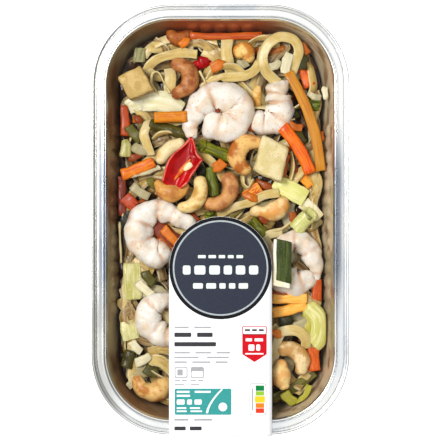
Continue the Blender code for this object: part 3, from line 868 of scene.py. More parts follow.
# Carrot: both ends, half width, half height, bow and colours of each baton
carrots = {
    "carrot_1": {"ends": (-15.6, 92.8, 21.4, 93.2), "half": (1.9, 1.8), "bow": 0.5, "base": (208, 110, 14),
        "second": (188, 84, 6), "nudge": (0, 1.0, 0)},
    "carrot_2": {"ends": (-33.9, 52.2, -17.6, 52.6), "half": (2.9, 2.6), "bow": 0.0, "base": (222, 150, 8),
        "second": (212, 124, 4)},
    "carrot_3": {"ends": (-49.4, 58.2, -48.8, 42.8), "half": (2.6, 1.9), "bow": -0.5,
        "base": (196, 92, 20), "second": (172, 68, 10), "taper": 0.3},
    "carrot_4": {"ends": (-50.4, 22.8, -34.2, 29.4), "half": (3.0, 2.6), "bow": 0.3,
        "base": (232, 144, 16), "second": (216, 104, 8)},
    "carrot_5": {"ends": (-49, 11.6, -43.6, 6.4), "half": (3.2, 1.4), "bow": 0.0, "base": (196, 88, 36),
        "second": (172, 66, 24)},
    "carrot_6": {"ends": (-50.2, 22, -50.0, 2), "half": (2.2, 1.5), "bow": 0.3, "base": (150, 62, 24),
        "second": (124, 46, 16)},
    "carrot_7": {"ends": (34.6, 75.4, 51.4, 24.8), "half": (2.6, 1.2), "bow": -3.2, "base": (214, 156, 56),
        "second": (198, 132, 36)},
    "carrot_8": {"ends": (31.6, 47.4, 46.0, 23.8), "half": (3.2, 2.6), "bow": -1.4, "base": (246, 138, 24),
        "second": (222, 92, 8)},
    "carrot_9": {"ends": (37.8, 23.2, 46.6, 17.4), "half": (3.2, 1.4), "bow": -0.8, "base": (244, 176, 56),
        "second": (230, 146, 32), "taper": 0.4},
    "carrot_10": {"ends": (12.4, 11.0, 20.2, 16.6), "half": (3.2, 2.4), "bow": 0.0, "base": (246, 176, 70),
        "second": (206, 92, 24)},
    # painted light: carrot_11 and carrot_12 get paler colours than the other batons, standing in for the
    # bright light on them
    "carrot_11": {"ends": (26.4, -40.2, 44.0, -40.2), "half": (2.5, 2.1), "bow": 0.4,
        "base": (255, 206, 112), "second": (252, 184, 84), "nudge": (0, 0, 2.0)},
    "carrot_12": {"ends": (26.6, -47.6, 43.8, -43.6), "half": (2.7, 2.1), "bow": 0.4,
        "base": (255, 202, 104), "second": (252, 176, 72), "nudge": (0, 0, 2.0)},
    "carrot_13": {"ends": (49.4, -30.4, 49.2, -41.4), "half": (2.5, 2.2), "bow": 0.0,
        "base": (214, 108, 26), "second": (192, 82, 14)},
    "carrot_14": {"ends": (47.4, -65.6, 48.2, -77), "half": (3.1, 2.5), "bow": 0.3, "base": (224, 120, 34),
        "second": (204, 94, 22)},
    "carrot_15": {"ends": (41.8, 79.2, 45.6, 68.0), "half": (3.3, 1.6), "bow": 0.4, "base": (236, 128, 22),
        "second": (206, 82, 10), "taper": 0.25},
}


def baton(name, ends, half, bow=0.0, arch=0.0, taper=0.0, square=4.5, cut="cut", count=14, around=16, z=0.0):
    # a cut stick between two ends, bowed sideways or arched, and narrowed towards its first end by taper
    start, end = Vector((*ends[:2], z)), Vector((*ends[2:], z))
    side = (end - start).normalized().cross(up)
    path = []
    for k in range(count):
        share = k / (count - 1)
        hump = 4 * share * (1 - share)
        spot = start.lerp(end, share) + side * bow * hump + up * arch * hump
        narrow = 1 - taper * (1 - share) ** 1.5
        path.append((*spot, half[0] * narrow, half[1] * narrow ** 0.5, 0))
    return sweepPiece(name, path, around, square, (cut, cut))


for seed, (node, look) in enumerate(carrots.items()):
    stick = baton(node + "_stick", look["ends"], look["half"], look["bow"], taper=look.get("taper", 0.0))
    roughen(stick, 4.0, 0.5, seed + 40)
    roughen(stick, 1.4, 0.12, seed + 41)
    dress(stick, foodMaterial(node + " root", {
        **look, "patch": 5, "along": True, "stretch": (6, 0.8, 1), "seed": seed * 0.3, "edge": (0.42, 0.62),
        "roughness": 0.36, "wet": 0.4, "speck": look["second"], "speckSize": 1200, "speckEdge": (0.62, 0.75),
        "glow": 0.1, "grain": 1500, "grainDepth": 0.25,
    }))
    settle(stick, node, look.get("nudge", (0, 0, 0)))
print("carrots cut")


# Green beans: both ends, half width, which ends are hollow, and colours
beans = {
    "bean_1": {"ends": (-36, 48.6, -17.6, 43.6), "half": 3.0, "base": (104, 94, 24),
        "second": (74, 68, 14)},
    "bean_2": {"ends": (-9.6, 38, 6.6, 31.4), "half": 3.3, "base": (146, 148, 46),
        "second": (104, 108, 26), "open": 0.7},
    "bean_3": {"ends": (-5.6, 26.4, -3.0, 12.0), "half": 3.0, "base": (128, 136, 52),
        "second": (98, 106, 36)},
    "bean_4": {"ends": (43.6, 59.6, 50.6, 58.0), "half": 3.3, "base": (126, 136, 44),
        "second": (70, 84, 28)},
    "bean_5": {"ends": (15.6, -0.4, 22.6, -8.2), "half": 3.3, "base": (134, 136, 44),
        "second": (84, 88, 22)},
    "bean_6": {"ends": (-5.4, 4.8, -4.6, -9.0), "half": 3.2, "base": (150, 158, 60),
        "second": (110, 116, 34), "open": 0.9},
    "bean_7": {"ends": (-48.4, -75.4, -45.8, -67.4), "half": 3.3, "base": (92, 84, 28),
        "second": (66, 58, 18)},
}

for seed, (node, look) in enumerate(beans.items()):
    start, end = Vector((*look["ends"][:2], 0)), Vector((*look["ends"][2:], 0))
    mouth = look.get("open", 0.0)
    path = []
    for k in range(16):
        share = k / 15
        spot = start.lerp(end, share) + up * mouth * 1.6 * (1 - share)
        half = look["half"] * (0.95 + 0.05 * math.cos(share * 9))
        path.append((*spot, half, half * 0.94, 0))
    pod = sweepPiece(node + "_pod", path, 20, 2.0, ("hollow" if mouth else "cut", "cut"), (mouth, 0))
    roughen(pod, 4.0, 0.5, seed + 60)
    dress(pod, foodMaterial(node + " green", {
        **look, "patch": 4, "along": True, "stretch": (5, 0.7, 1), "seed": seed * 0.4, "roughness": 0.38,
        "wet": 0.4,
        "speck": (190, 196, 120), "speckSize": 800, "speckEdge": (0.66, 0.78), "grain": 1300,
        "grainDepth": 0.3,
    }))
    settle(pod, node)
print("beans cut")


# Leek: rows of x, y, z, half width, half height and lean along each strip, and its two colours
leeks = {
    "leek_1": {"strips": [[(-47.6, 57.2, -1.0, 3.6, 0.8, 8), (-43.0, 59.4, 0.4, 4.4, 0.9, 4),
        (-39.6, 59.8, 0.8, 4.0, 0.8, 0)], [(-41.2, 59.2, 0.8, 4.6, 1.0, 4),
        (-34.0, 60.6, 1.7, 5.2, 1.0, 2), (-26.0, 59.4, 1.9, 5.4, 1.0, -3),
        (-19.4, 56.4, 0.8, 3.4, 0.9, -8)], [(-29.0, 63.2, 1.6, 2.6, 0.8, 10),
        (-22.6, 62.0, 1.2, 2.4, 0.8, 4)]], "base": (238, 232, 204), "second": (220, 214, 168)},
    "leek_2": {"strips": [[(-41.6, 80.4, 0, 3.2, 1.0, 0), (-41.0, 87.8, 0.6, 3.0, 1.0, 10)]],
        "base": (176, 172, 128), "second": (140, 136, 90)},
    "leek_3": {"strips": [[(-49.0, 40.6, 0, 1.6, 1.6, 0), (-48.4, 37.0, 0.2, 2.8, 2.2, 0),
        (-48.6, 32.4, 0, 3.1, 2.3, 0)]], "base": (200, 192, 136), "second": (170, 164, 92)},
    "leek_4": {"strips": [[(27.4, 19.4, -0.6, 4.4, 1.1, 10), (35.0, 15.6, 0.7, 4.8, 1.2, 4),
        (43.4, 10.6, 0, 4.6, 1.1, -6)]], "base": (226, 224, 138), "second": (236, 232, 172)},
    "leek_5": {"strips": [[(42.4, 8.8, 0.3, 3.5, 1.1, -6), (46.6, 4.6, 0.5, 3.6, 1.1, 0),
        (50.6, 0.4, 0, 3.2, 1.0, 6)]], "base": (242, 234, 208), "second": (228, 218, 170)},
    "leek_7": {"strips": [[(-45.2, -22.4, 0, 4.4, 1.1, -8), (-44.8, -31, 1.2, 4.8, 1.2, -4),
        (-44.6, -40.8, 0, 4.4, 1.1, 0)]], "base": (196, 190, 112), "second": (224, 218, 172)},
    "leek_8": {"strips": [[(-47.4, -51.8, 0, 4.3, 1.3, 0), (-46.4, -56.5, 0.4, 4.5, 1.4, 0),
        (-45.4, -61.4, 0, 4.3, 1.3, 0)]], "base": (226, 220, 170), "second": (208, 202, 140)},
    "leek_9": {"strips": [[(26.6, -91.4, 0, 2.2, 0.8, 20), (37, -86.4, 0.6, 2.8, 0.9, 10),
        (48.2, -78.2, 0, 2.2, 0.8, -10)]], "base": (136, 130, 62), "second": (108, 102, 44)},
}


def leekMaterial(name, look, seed):
    return foodMaterial(name, {
        **look, "patch": 4, "along": True, "stretch": (7, 0.5, 1), "seed": seed * 0.5, "edge": (0.38, 0.66),
        "roughness": 0.34, "wet": 0.45, "glow": 0.15, "speck": look["second"], "speckSize": 500,
        "speckEdge": (0.56, 0.8), "grain": 900, "grainDepth": 0.2,
    })


for seed, (node, look) in enumerate(leeks.items()):
    strips = []
    for k, rows in enumerate(look["strips"]):
        strip = sweepPiece(f"{node}_strip{k}", smoothPath(rows, 18), 20, 4.0, ("cut", "cut"))
        strips.append(roughen(roughen(strip, 5.0, 0.7, seed + 80 + k), 1.8, 0.2, seed + 90 + k))
    leaf = dress(joinPieces(node + "_leaf", strips), leekMaterial(node + " leaf", look, seed))
    settle(leaf, node)

# one leek piece is a tube, open at its upper end
tubePath = smoothPath([(38.2, -5.2, 0, 4.0, 2.9, 0), (41.6, -1.6, 0.6, 4.2, 3.0, 0),
                       (45.8, 2.8, 1.6, 4.2, 3.1, 0)], 14)
tubeLook = {"base": (206, 206, 130), "second": (226, 224, 166)}
leekTube = sweepPiece("leek_6_tube", tubePath, 24, 2.2, ("cut", "hollow"), (0, -0.8))
roughen(leekTube, 4.0, 0.5, 101)
settle(dress(leekTube, leekMaterial("leek_6 leaf", tubeLook, 9)), "leek_6")
print("leeks sliced")


# Courgette: a slice with a square of dark skin on pale flesh, and a pale one with a groove
courgetteLooks = {
    "skin": {"base": (66, 78, 22), "second": (92, 104, 38), "patch": 5, "along": True,
        "stretch": (5, 1, 1), "roughness": 0.42, "wet": 0.2, "speck": (140, 156, 80), "speckSize": 1500,
        "speckEdge": (0.62, 0.74)},
    "flesh": {"base": (252, 246, 228), "second": (246, 236, 206), "patch": 160, "roughness": 0.4,
        "wet": 0.35, "glow": 0.15},
    "pale": {"base": (210, 206, 120), "second": (232, 226, 168), "patch": 4, "along": True,
        "stretch": (5, 0.6, 1), "roughness": 0.36, "wet": 0.4, "glow": 0.12},
    "core": {"base": (190, 180, 72), "second": (212, 204, 112), "patch": 4, "along": True,
        "stretch": (5, 0.6, 1), "roughness": 0.36, "wet": 0.4},
}
courgetteMaterials = {name: foodMaterial("courgette " + name, look) for name, look in courgetteLooks.items()}


def slab(name, corners, low, high, bevel):
    # a flat cut piece with four given corners and softened edges
    bpy.ops.mesh.primitive_cube_add(size=1)
    piece = bpy.context.object
    piece.name = piece.data.name = name
    for vert in piece.data.vertices:
        column, row = vert.co.x > 0, vert.co.y > 0
        x, y = corners[(0, 3, 1, 2)[2 * column + row]]
        vert.co = Vector((x, y, high if vert.co.z > 0 else low)) * mm
    bpy.ops.object.mode_set(mode="EDIT")
    bpy.ops.mesh.select_all(action="SELECT")
    bpy.ops.mesh.bevel(offset=bevel * mm, segments=3, affect="EDGES")
    bpy.ops.mesh.subdivide(number_cuts=5)
    bpy.ops.object.mode_set(mode="OBJECT")
    bpy.ops.object.shade_smooth()
    piece.select_set(False)
    return piece


flesh = slab("courgetteFlesh", [(26.4, -33.6), (35.6, -35.6), (36.0, -11.8), (27.2, -9.8)], 0, 3.8, 0.7)
skin = slab("courgetteSkin", [(28.4, -30.8), (36.2, -32.8), (36.2, -11.8), (28.6, -9.8)], 2.4, 4.4, 0.25)
dress(flesh, courgetteMaterials["flesh"])
dress(skin, courgetteMaterials["skin"])
courgetteSlice = joinPieces("courgette_1_slice", [flesh, skin])
roughen(courgetteSlice, 7.0, 0.5, 120)
settle(courgetteSlice, "courgette_1")

outer = sweepPiece("courgetteOuter", smoothPath([
    (45.6, -45.6, 0, 4.6, 2.8, 0), (49.6, -49.6, 0.4, 4.8, 3.2, 0), (50.6, -55.6, 0.5, 4.9, 3.3, 0),
    (49.6, -61, 0.2, 5.2, 3.1, 0), (47.2, -64.0, 0, 4.8, 2.6, 0)], 20), 20, 2.6, ("round", "cut"))
inner = sweepPiece("courgetteInner", smoothPath([
    (43.6, -49, -0.6, 1.8, 1.8, 0), (44.4, -54, 0.4, 2.6, 2.6, 0), (44.0, -59, 0.2, 2.8, 2.6, 0),
    (43.4, -63.4, -0.5, 2.0, 2.0, 0)], 16), 18, 2.2)
dress(outer, courgetteMaterials["pale"])
dress(inner, courgetteMaterials["core"])
settle(joinPieces("courgette_2_slice", [outer, inner]), "courgette_2")


# Tofu: blocks with worn corners, pores and browner specks
tofus = {
    "tofu_1": {"corners": [(-46.4, 60.7), (-34.0, 66.1), (-41.1, 78.8), (-52.9, 72.7)], "height": 9.4,
        "bevel": 1.2, "base": (202, 174, 112), "second": (218, 192, 134), "speck": (176, 128, 62)},
    "tofu_2": {"corners": [(16.6, 25.0), (31.2, 18.4), (34.9, 37.0), (21.4, 43.6)], "height": 8.4,
        "bevel": 1.9, "base": (226, 210, 156), "second": (236, 222, 180), "speck": (186, 162, 96)},
}

for seed, (node, look) in enumerate(tofus.items()):
    cube = slab(node + "_cube", look["corners"], 0, look["height"], look["bevel"])
    roughen(cube, 5.0, 0.7, seed + 130)
    roughen(cube, 1.1, 0.35, seed + 131)
    dress(cube, foodMaterial(node + " curd", {
        **look, "patch": 160, "roughness": 0.62, "wet": 0.08, "speckSize": 1100, "speckEdge": (0.62, 0.72),
        "grain": 1600, "grainDepth": 0.6,
    }))
    settle(cube, node)
print("courgette and tofu cut")


# Chilli: a split half lying open. Its rows: the share of the way, left reach, right reach and depth
chilli = {
    "base": (-23.2, 18.6), "tip": (-15.2, 42.4), "thick": 1.1,
    "rows": [(-0.05, 6.9, 4.4, 3.4), (0.1, 7.2, 6.2, 3.6), (0.25, 7.4, 7.2, 3.8), (0.4, 7.2, 8.4, 3.8),
             (0.54, 5.8, 9.2, 3.6), (0.64, 4.6, 9.8, 3.0), (0.7, 3.8, 6.2, 2.6), (0.8, 2.6, 4.6, 2.0),
             (0.9, 1.4, 3.0, 1.3), (0.97, 0.6, 1.5, 0.7), (1.0, 0.2, 0.4, 0.3)],
}


def shapeChilli():
    base, tip = Vector((*chilli["base"], 0)), Vector((*chilli["tip"], 0))
    ahead = tip - base
    side = ahead.normalized().cross(up)
    rows = smoothPath(chilli["rows"], 34)
    columns = 26

    def place(column, row):
        along, left, right, depth = rows[row]
        across = column / columns * 2 - 1
        reach = right if across > 0 else left
        # a crease runs off the middle, as where the wall is folded
        crease = 0.5 * math.exp(-((across - 0.45) / 0.1) ** 2) * depth / 4
        rise = depth * (1.25 if across > 0 else 0.9) * abs(across) ** 2.2 + crease
        lip = -1.8 * (1 - across ** 2) * (1 - smooth(along / 0.3))
        return base + ahead * along + ahead.normalized() * lip + side * across * reach + up * rise

    shell = gridPiece("chilliShell", columns, len(rows) - 1, place)
    roughen(shell, 5.0, 0.5, 140)
    bpy.context.view_layer.objects.active = shell
    dress(shell, chilliRed, chilliEdge)
    wall = shell.modifiers.new("wall", "SOLIDIFY")
    wall.thickness = chilli["thick"] * mm
    wall.offset = -1
    wall.material_offset_rim = 1
    bpy.ops.object.modifier_apply(modifier=wall.name)
    bpy.ops.object.shade_smooth_by_angle(angle=math.radians(50))
    rib = sweepPiece("chilliRib", smoothPath([
        (-23.4, 20.6, 1.3, 0.5, 0.5, 0), (-20.6, 24.2, 2.0, 1.1, 0.7, 0), (-17.8, 27.6, 2.6, 1.3, 0.7, 0),
        (-15.6, 30.4, 3.0, 0.6, 0.5, 0)], 16), 12)
    seed = sweepPiece("chilliSeed", smoothPath([
        (-18.3, 25.4, 3.0, 0.9, 0.5, 0), (-16.9, 26.8, 3.4, 1.6, 0.7, 0), (-15.2, 28.2, 3.4, 1.5, 0.7, 0)],
        12), 14)
    return joinPieces("chilli_1_half", [shell, dress(rib, chilliRib), dress(seed, chilliSeed)])


chilliRed = foodMaterial("chilli flesh", {
    "base": (200, 16, 18), "second": (172, 6, 12), "patch": 130, "roughness": 0.34, "wet": 0.3,
    "speck": (226, 52, 44), "speckSize": 500, "speckEdge": (0.62, 0.8), "grain": 500, "grainDepth": 0.25,
})
chilliEdge = foodMaterial("chilli cut edge",
                          {"base": (236, 128, 106), "second": (216, 62, 56), "patch": 300, "wet": 0.4})
chilliRib = foodMaterial("chilli rib",
                         {"base": (232, 140, 50), "second": (214, 100, 30), "patch": 300, "wet": 0.4})
chilliSeed = foodMaterial("chilli seed",
                          {"base": (246, 232, 190), "second": (236, 214, 160), "patch": 300, "wet": 0.3})
settle(shapeChilli(), "chilli_1")

bit = sweepPiece("chilli_2_bit", smoothPath([
    (-12.0, 78.4, 0, 2.6, 1.6, 20), (-8.4, 80.4, 0.6, 3.2, 2.0, 10), (-4.6, 82.2, 0, 2.2, 1.4, 0)], 14), 16)
roughen(bit, 2.6, 1.1, 150)
settle(dress(bit, chilliRed), "chilli_2")
print("chilli split")


# Noodles: a dark core, its brown partly sauce and partly painted shade for the gaps between strands, strands
# laid at random on it, and the strands that show placed one by one
def shapeCore():
    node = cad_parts["noodle_bed"]
    core = bpy.data.objects.new("shadedSauceCore", node.data.copy())
    bpy.context.scene.collection.objects.link(core)
    bpy.context.view_layer.objects.active = core
    core.select_set(True)
    bpy.ops.object.mode_set(mode="EDIT")
    bpy.ops.mesh.select_all(action="SELECT")
    bpy.ops.mesh.remove_doubles(threshold=0.01 * mm)
    bpy.ops.mesh.subdivide(number_cuts=2)
    bpy.ops.object.mode_set(mode="OBJECT")
    core.select_set(False)
    for vert in core.data.vertices:
        vert.co.z = 0.9 * mm + (vert.co.z - 0.9 * mm) * 0.86
    roughen(core, 5.0, 1.4, 160)
    bpy.context.view_layer.objects.active = core
    bpy.ops.object.shade_smooth()
    return core


# painted shade: the core's dark brown is partly sauce and partly shade for the gaps between the strands
shadedSauceCore = dress(keepInside(shapeCore()), foodMaterial("sauce", {
    "base": (66, 38, 12), "second": (98, 66, 22), "patch": 120, "roughness": 0.3, "wet": 0.5, "grain": 500,
    "grainDepth": 0.4,
}))
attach(shadedSauceCore, "root")
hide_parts("noodle_bed")

strand = {"halfWidth": 2.5, "halfThick": 0.6, "loose": 110, "step": 6.0}


def wallRoom(x, y):
    # how far a point is from the inside of the wall, at the height of the food
    inset = wallInset(26) + 1.5
    radius = tray["rimRadius"] - inset
    dx = abs(x) - (trayCorner.x - inset - radius)
    dy = abs(y) - (trayCorner.y - inset - radius)
    if dx > 0 and dy > 0:
        return radius - math.hypot(dx, dy)
    return radius - max(dx, dy)


def looseStrand(index):
    # wanders over the core, turning back from the wall, and leaning as it goes
    level = draw.uniform(19.5, 27.0)
    while True:
        x, y = draw.uniform(-50, 50), draw.uniform(-94, 94)
        if wallRoom(x, y) > 4:
            break
    heading = draw.uniform(0, 2 * math.pi)
    curl = draw.gauss(0, 0.28)
    rows = []
    for k in range(draw.randint(7, 15)):
        lean = 24 * math.sin(k * 0.9 + index) + (55 if index % 6 == 0 else 0)
        rows.append((x, y, level + 1.3 * math.sin(k * 0.8 + index * 2.1), strand["halfWidth"],
                     strand["halfThick"], lean))
        curl = 0.8 * curl + draw.gauss(0, 0.16)
        for _ in range(12):
            nextX, nextY = x + strand["step"] * math.cos(heading), y + strand["step"] * math.sin(heading)
            if wallRoom(nextX, nextY) > 3:
                break
            heading += 0.45
        x, y = nextX, nextY
        heading += curl
    piece = sweepPiece(f"strand{index}", smoothPath(rows, len(rows) * 3), 8, 3.0, ("cut", "cut"))
    # painted shade: the tone is random, and lower strands get a darker one
    return giveTone(piece, min(1, max(0, draw.gauss(0.4, 0.22) + (level - 23.5) * 0.06)))


# Strands that show: tone, half width, then rows of x, y, z and lean
shownStrands = [
    (0.8, 2.5, [(-38.0, 75.6, 27, 20), (-33.4, 81.0, 29, 10), (-26.3, 83.7, 30, 5), (-19.1, 85.0, 30, 0),
                (-12, 84.2, 29, -10)]),
    (0.75, 1.7, [(-31.4, 64.0, 28, 75), (-35.0, 69.4, 29.5, 80), (-34.4, 74.4, 30, 85),
                 (-31.6, 74.8, 30, 85), (-29.4, 70.6, 29.6, 80), (-26.2, 64.6, 28.5, 70)]),
    (0.85, 3.0, [(-26.0, 77.0, 27, 0), (-25.4, 72.6, 29.6, 0), (-25.8, 67.6, 29.2, 0), (-25.6, 64.0, 27, 0)]),
    (0.9, 3.1, [(3.8, 94.0, 27, 0), (3.0, 86.6, 30, 8), (3.8, 79.6, 30.4, 0), (6, 74, 28.5, 0)]),
    (0.6, 1.8, [(15.0, 90.0, 29, 60), (19.6, 92.4, 30.4, 50), (25.2, 92.2, 30.4, 30), (29, 88, 28, 20)]),
    (0.82, 2.7, [(29.8, 69.6, 29, -5), (23.6, 75.0, 31, -12), (21.7, 82.4, 32, -15), (24.4, 89.4, 32.4, -15),
                 (30.3, 93.0, 32.4, -12), (37.0, 91.8, 32, -10), (39.8, 86.3, 31.6, -12),
                 (38.0, 79.3, 31, -8), (35.0, 71.6, 29.4, 0)]),
    (0.82, 2.5, [(-9.6, 66.4, 28, 0), (-4.4, 70.6, 30, 5), (3.0, 72.4, 31, 8), (11.4, 73.0, 31.4, 8),
                 (16.8, 75.6, 31.6, 0), (20.0, 80.0, 31, -10)]),
    (0.7, 1.8, [(-6.6, 71.4, 29.4, 50), (-3.4, 76.0, 31, 45), (2.8, 78.2, 32, 40), (8.0, 77.8, 32, 35),
                (11.6, 74.8, 31.4, 30), (14.0, 72.4, 30, 20)]),
    (0.5, 2.3, [(-17.0, 89.8, 27, 0), (-11.4, 90.2, 28, 10), (-6.0, 87.6, 28, 15), (-2.0, 84.0, 27, 10)]),
    (0.62, 3.2, [(-9.0, 86.4, 26.6, 0), (-3.6, 83.8, 27.6, 10), (1.0, 80.4, 28, 0)]),
    (0.8, 1.4, [(-10.8, 75.6, 29.6, 80), (-8.0, 70.0, 29.6, 80), (-7.0, 66.0, 28, 80)]),
    (0.9, 2.4, [(-34.2, 49.4, 28, 30), (-37.4, 48.0, 30, 20), (-39.0, 43.6, 30.6, 10), (-37.2, 37.6, 30, 10),
                (-35.8, 33.0, 28, 20)]),
    (0.7, 1.6, [(-34.4, 41.0, 28.4, 60), (-31.0, 43.8, 30, 60), (-26.4, 44.2, 30, 60),
                (-22.0, 42.0, 28, 50)]),
    (0.2, 2.6, [(-34.6, 38.8, 25.6, 0), (-30.0, 40.6, 26.6, 0), (-26.4, 42.4, 26.4, 0)]),
    (0.75, 1.7, [(11.2, 22.6, 28.6, 60), (11.6, 18.0, 30, 60), (14.6, 16.0, 30.4, 60), (17.0, 20.2, 29, 60)]),
    (0.85, 2.3, [(-1.6, 2.4, 27, 0), (5.6, 5.8, 29.4, 5), (15.0, 8.6, 30.4, 5), (21.6, 12.2, 30, 0),
                 (30.0, 13.6, 28.6, 0)]),
    (0.88, 2.8, [(27.0, -58.4, 29.6, 0), (33.6, -56.6, 32.4, 5), (39.4, -57.0, 32.8, 0),
                 (43.2, -60.6, 31.8, -5), (43.6, -65.4, 29, -5)]),
    (0.86, 2.5, [(30.6, -58.0, 30, 0), (28.4, -64.0, 31.6, 0), (26.8, -71.4, 30, 0), (24.4, -76.6, 28, 0)]),
    (0.6, 2.2, [(-36.6, -67.6, 28, 0), (-31.0, -66.2, 29.6, 10), (-26.2, -66.8, 29.6, 0),
                (-20.0, -68.0, 28, 0)]),
    (0.75, 3.2, [(-36.2, -71.4, 28, 0), (-30.4, -72.4, 29, 10), (-25.0, -76.6, 28.6, 0),
                 (-21.0, -80.4, 27, 0)]),
    (0.15, 2.4, [(-37.6, -77.0, 28, 40), (-31.6, -80.8, 29, 45), (-24.6, -84.6, 28, 40),
                 (-19.0, -87.0, 26, 30)]),
    (0.35, 2.0, [(-33.6, 91.6, 26, 30), (-29.2, 88.4, 27, 30), (-27.0, 84.0, 26.6, 20)]),
    (0.6, 2.2, [(48.6, 23.4, 27, 0), (50.2, 17.6, 28, 10), (48.4, 12.6, 27, 20)]),
    (0.7, 1.7, [(35.8, 34.6, 29, 65), (37.0, 27.8, 30, 65), (35.4, 20.0, 29, 65)]),
    (0.3, 1.6, [(-51.6, -1.4, 27, 80), (-51.2, -13.0, 27.6, 80), (-50.8, -22.0, 27, 80)]),
    (0.55, 1.6, [(23.8, -6.6, 29, 65), (30.2, -5.8, 30, 65), (36.0, -1.8, 29, 65)]),
    (0.95, 2.2, [(20.6, -10.2, 28.8, 0), (25.4, -7.6, 30, 10), (31.4, -6.2, 30, 0)]),
    (0.55, 2.2, [(43.4, -39.6, 28.6, 0), (47.0, -42.6, 29.4, 0), (50.6, -44.0, 28, 0)]),
    (0.6, 2.4, [(-44.2, -20.4, 26, 0), (-38.4, -25.4, 27.6, 0), (-34.4, -27.2, 27, 0)]),
    (0.4, 3.4, [(-51.0, -40.4, 26.4, 0), (-47.4, -46.0, 27, 0), (-44.6, -51.4, 26.4, 0)]),
]


def shownStrand(index, tone, half, rows):
    rows = [(x * spread(z), y * spread(z), z, half, strand["halfThick"], lean) for x, y, z, lean in rows]
    piece = sweepPiece(f"shown{index}", smoothPath(rows, 10 + 6 * len(rows)), 12, 3.2, ("cut", "cut"))
    roughen(piece, 5.0, 0.5, index + 170)
    return giveTone(piece, tone)


def noodleMaterial():
    material, tree, shader = newMaterial("rice noodle", 0.34, **{
        "Coat Weight": 0.12, "Coat Roughness": 0.12, "Specular IOR Level": 0.2, "Subsurface Weight": 0.12,
        "Subsurface Scale": 0.002,
        "Subsurface Radius": (1.0, 0.75, 0.4),
    })
    place = put(tree, "ShaderNodeTexCoord")
    tone = put(tree, "ShaderNodeAttribute", attribute_name="tone").outputs["Fac"]
    lines = patches(tree, place.outputs["UV"], 3, 0.3, 0.75, (4, 1.2, 1))
    blotch = patches(tree, place.outputs["Object"], 110, 0.35, 0.7)
    wander = maths(tree, "MULTIPLY_ADD", blotch, 0.3, -0.15)
    shade = put(tree, "ShaderNodeMath", {0: tone, 1: wander}, operation="ADD", use_clamp=True)
    ramp = put(tree, "ShaderNodeValToRGB", {0: shade.outputs[0]})
    stops = ramp.color_ramp.elements
    stops[0].color, stops[1].color = deep(98, 56, 14), deep(216, 198, 154)
    for at, colour in ((0.3, (142, 100, 34)), (0.55, (184, 150, 70)), (0.8, (212, 186, 114))):
        stops.new(at).color = deep(*colour)
    colour = mixColour(tree, lines, ramp.outputs[0],
                       mixColour(tree, 0.4, ramp.outputs[0], deep(240, 228, 180)))
    # painted highlight: strands are paler along both edges, standing in for light shining through their thin
    # translucent edges
    around = put(tree, "ShaderNodeSeparateXYZ", {0: place.outputs["UV"]}).outputs["X"]
    across = maths(tree, "COSINE", maths(tree, "MULTIPLY", around, 2 * math.pi))
    edge = slope(tree, maths(tree, "ABSOLUTE", across), 0.6, 1.0, high=0.75)
    colour = mixColour(tree, edge, colour, deep(226, 214, 172))
    tree.links.new(colour, shader.inputs["Base Color"])
    relief(tree, shader, place.outputs["Object"], 600, 0.2)
    return material


strands = [looseStrand(index) for index in range(strand["loose"])]
strands += [shownStrand(index, *rows) for index, rows in enumerate(shownStrands)]
belong(dress(keepInside(joinPieces("riceNoodles", strands)), noodleMaterial()))
print("noodles laid")


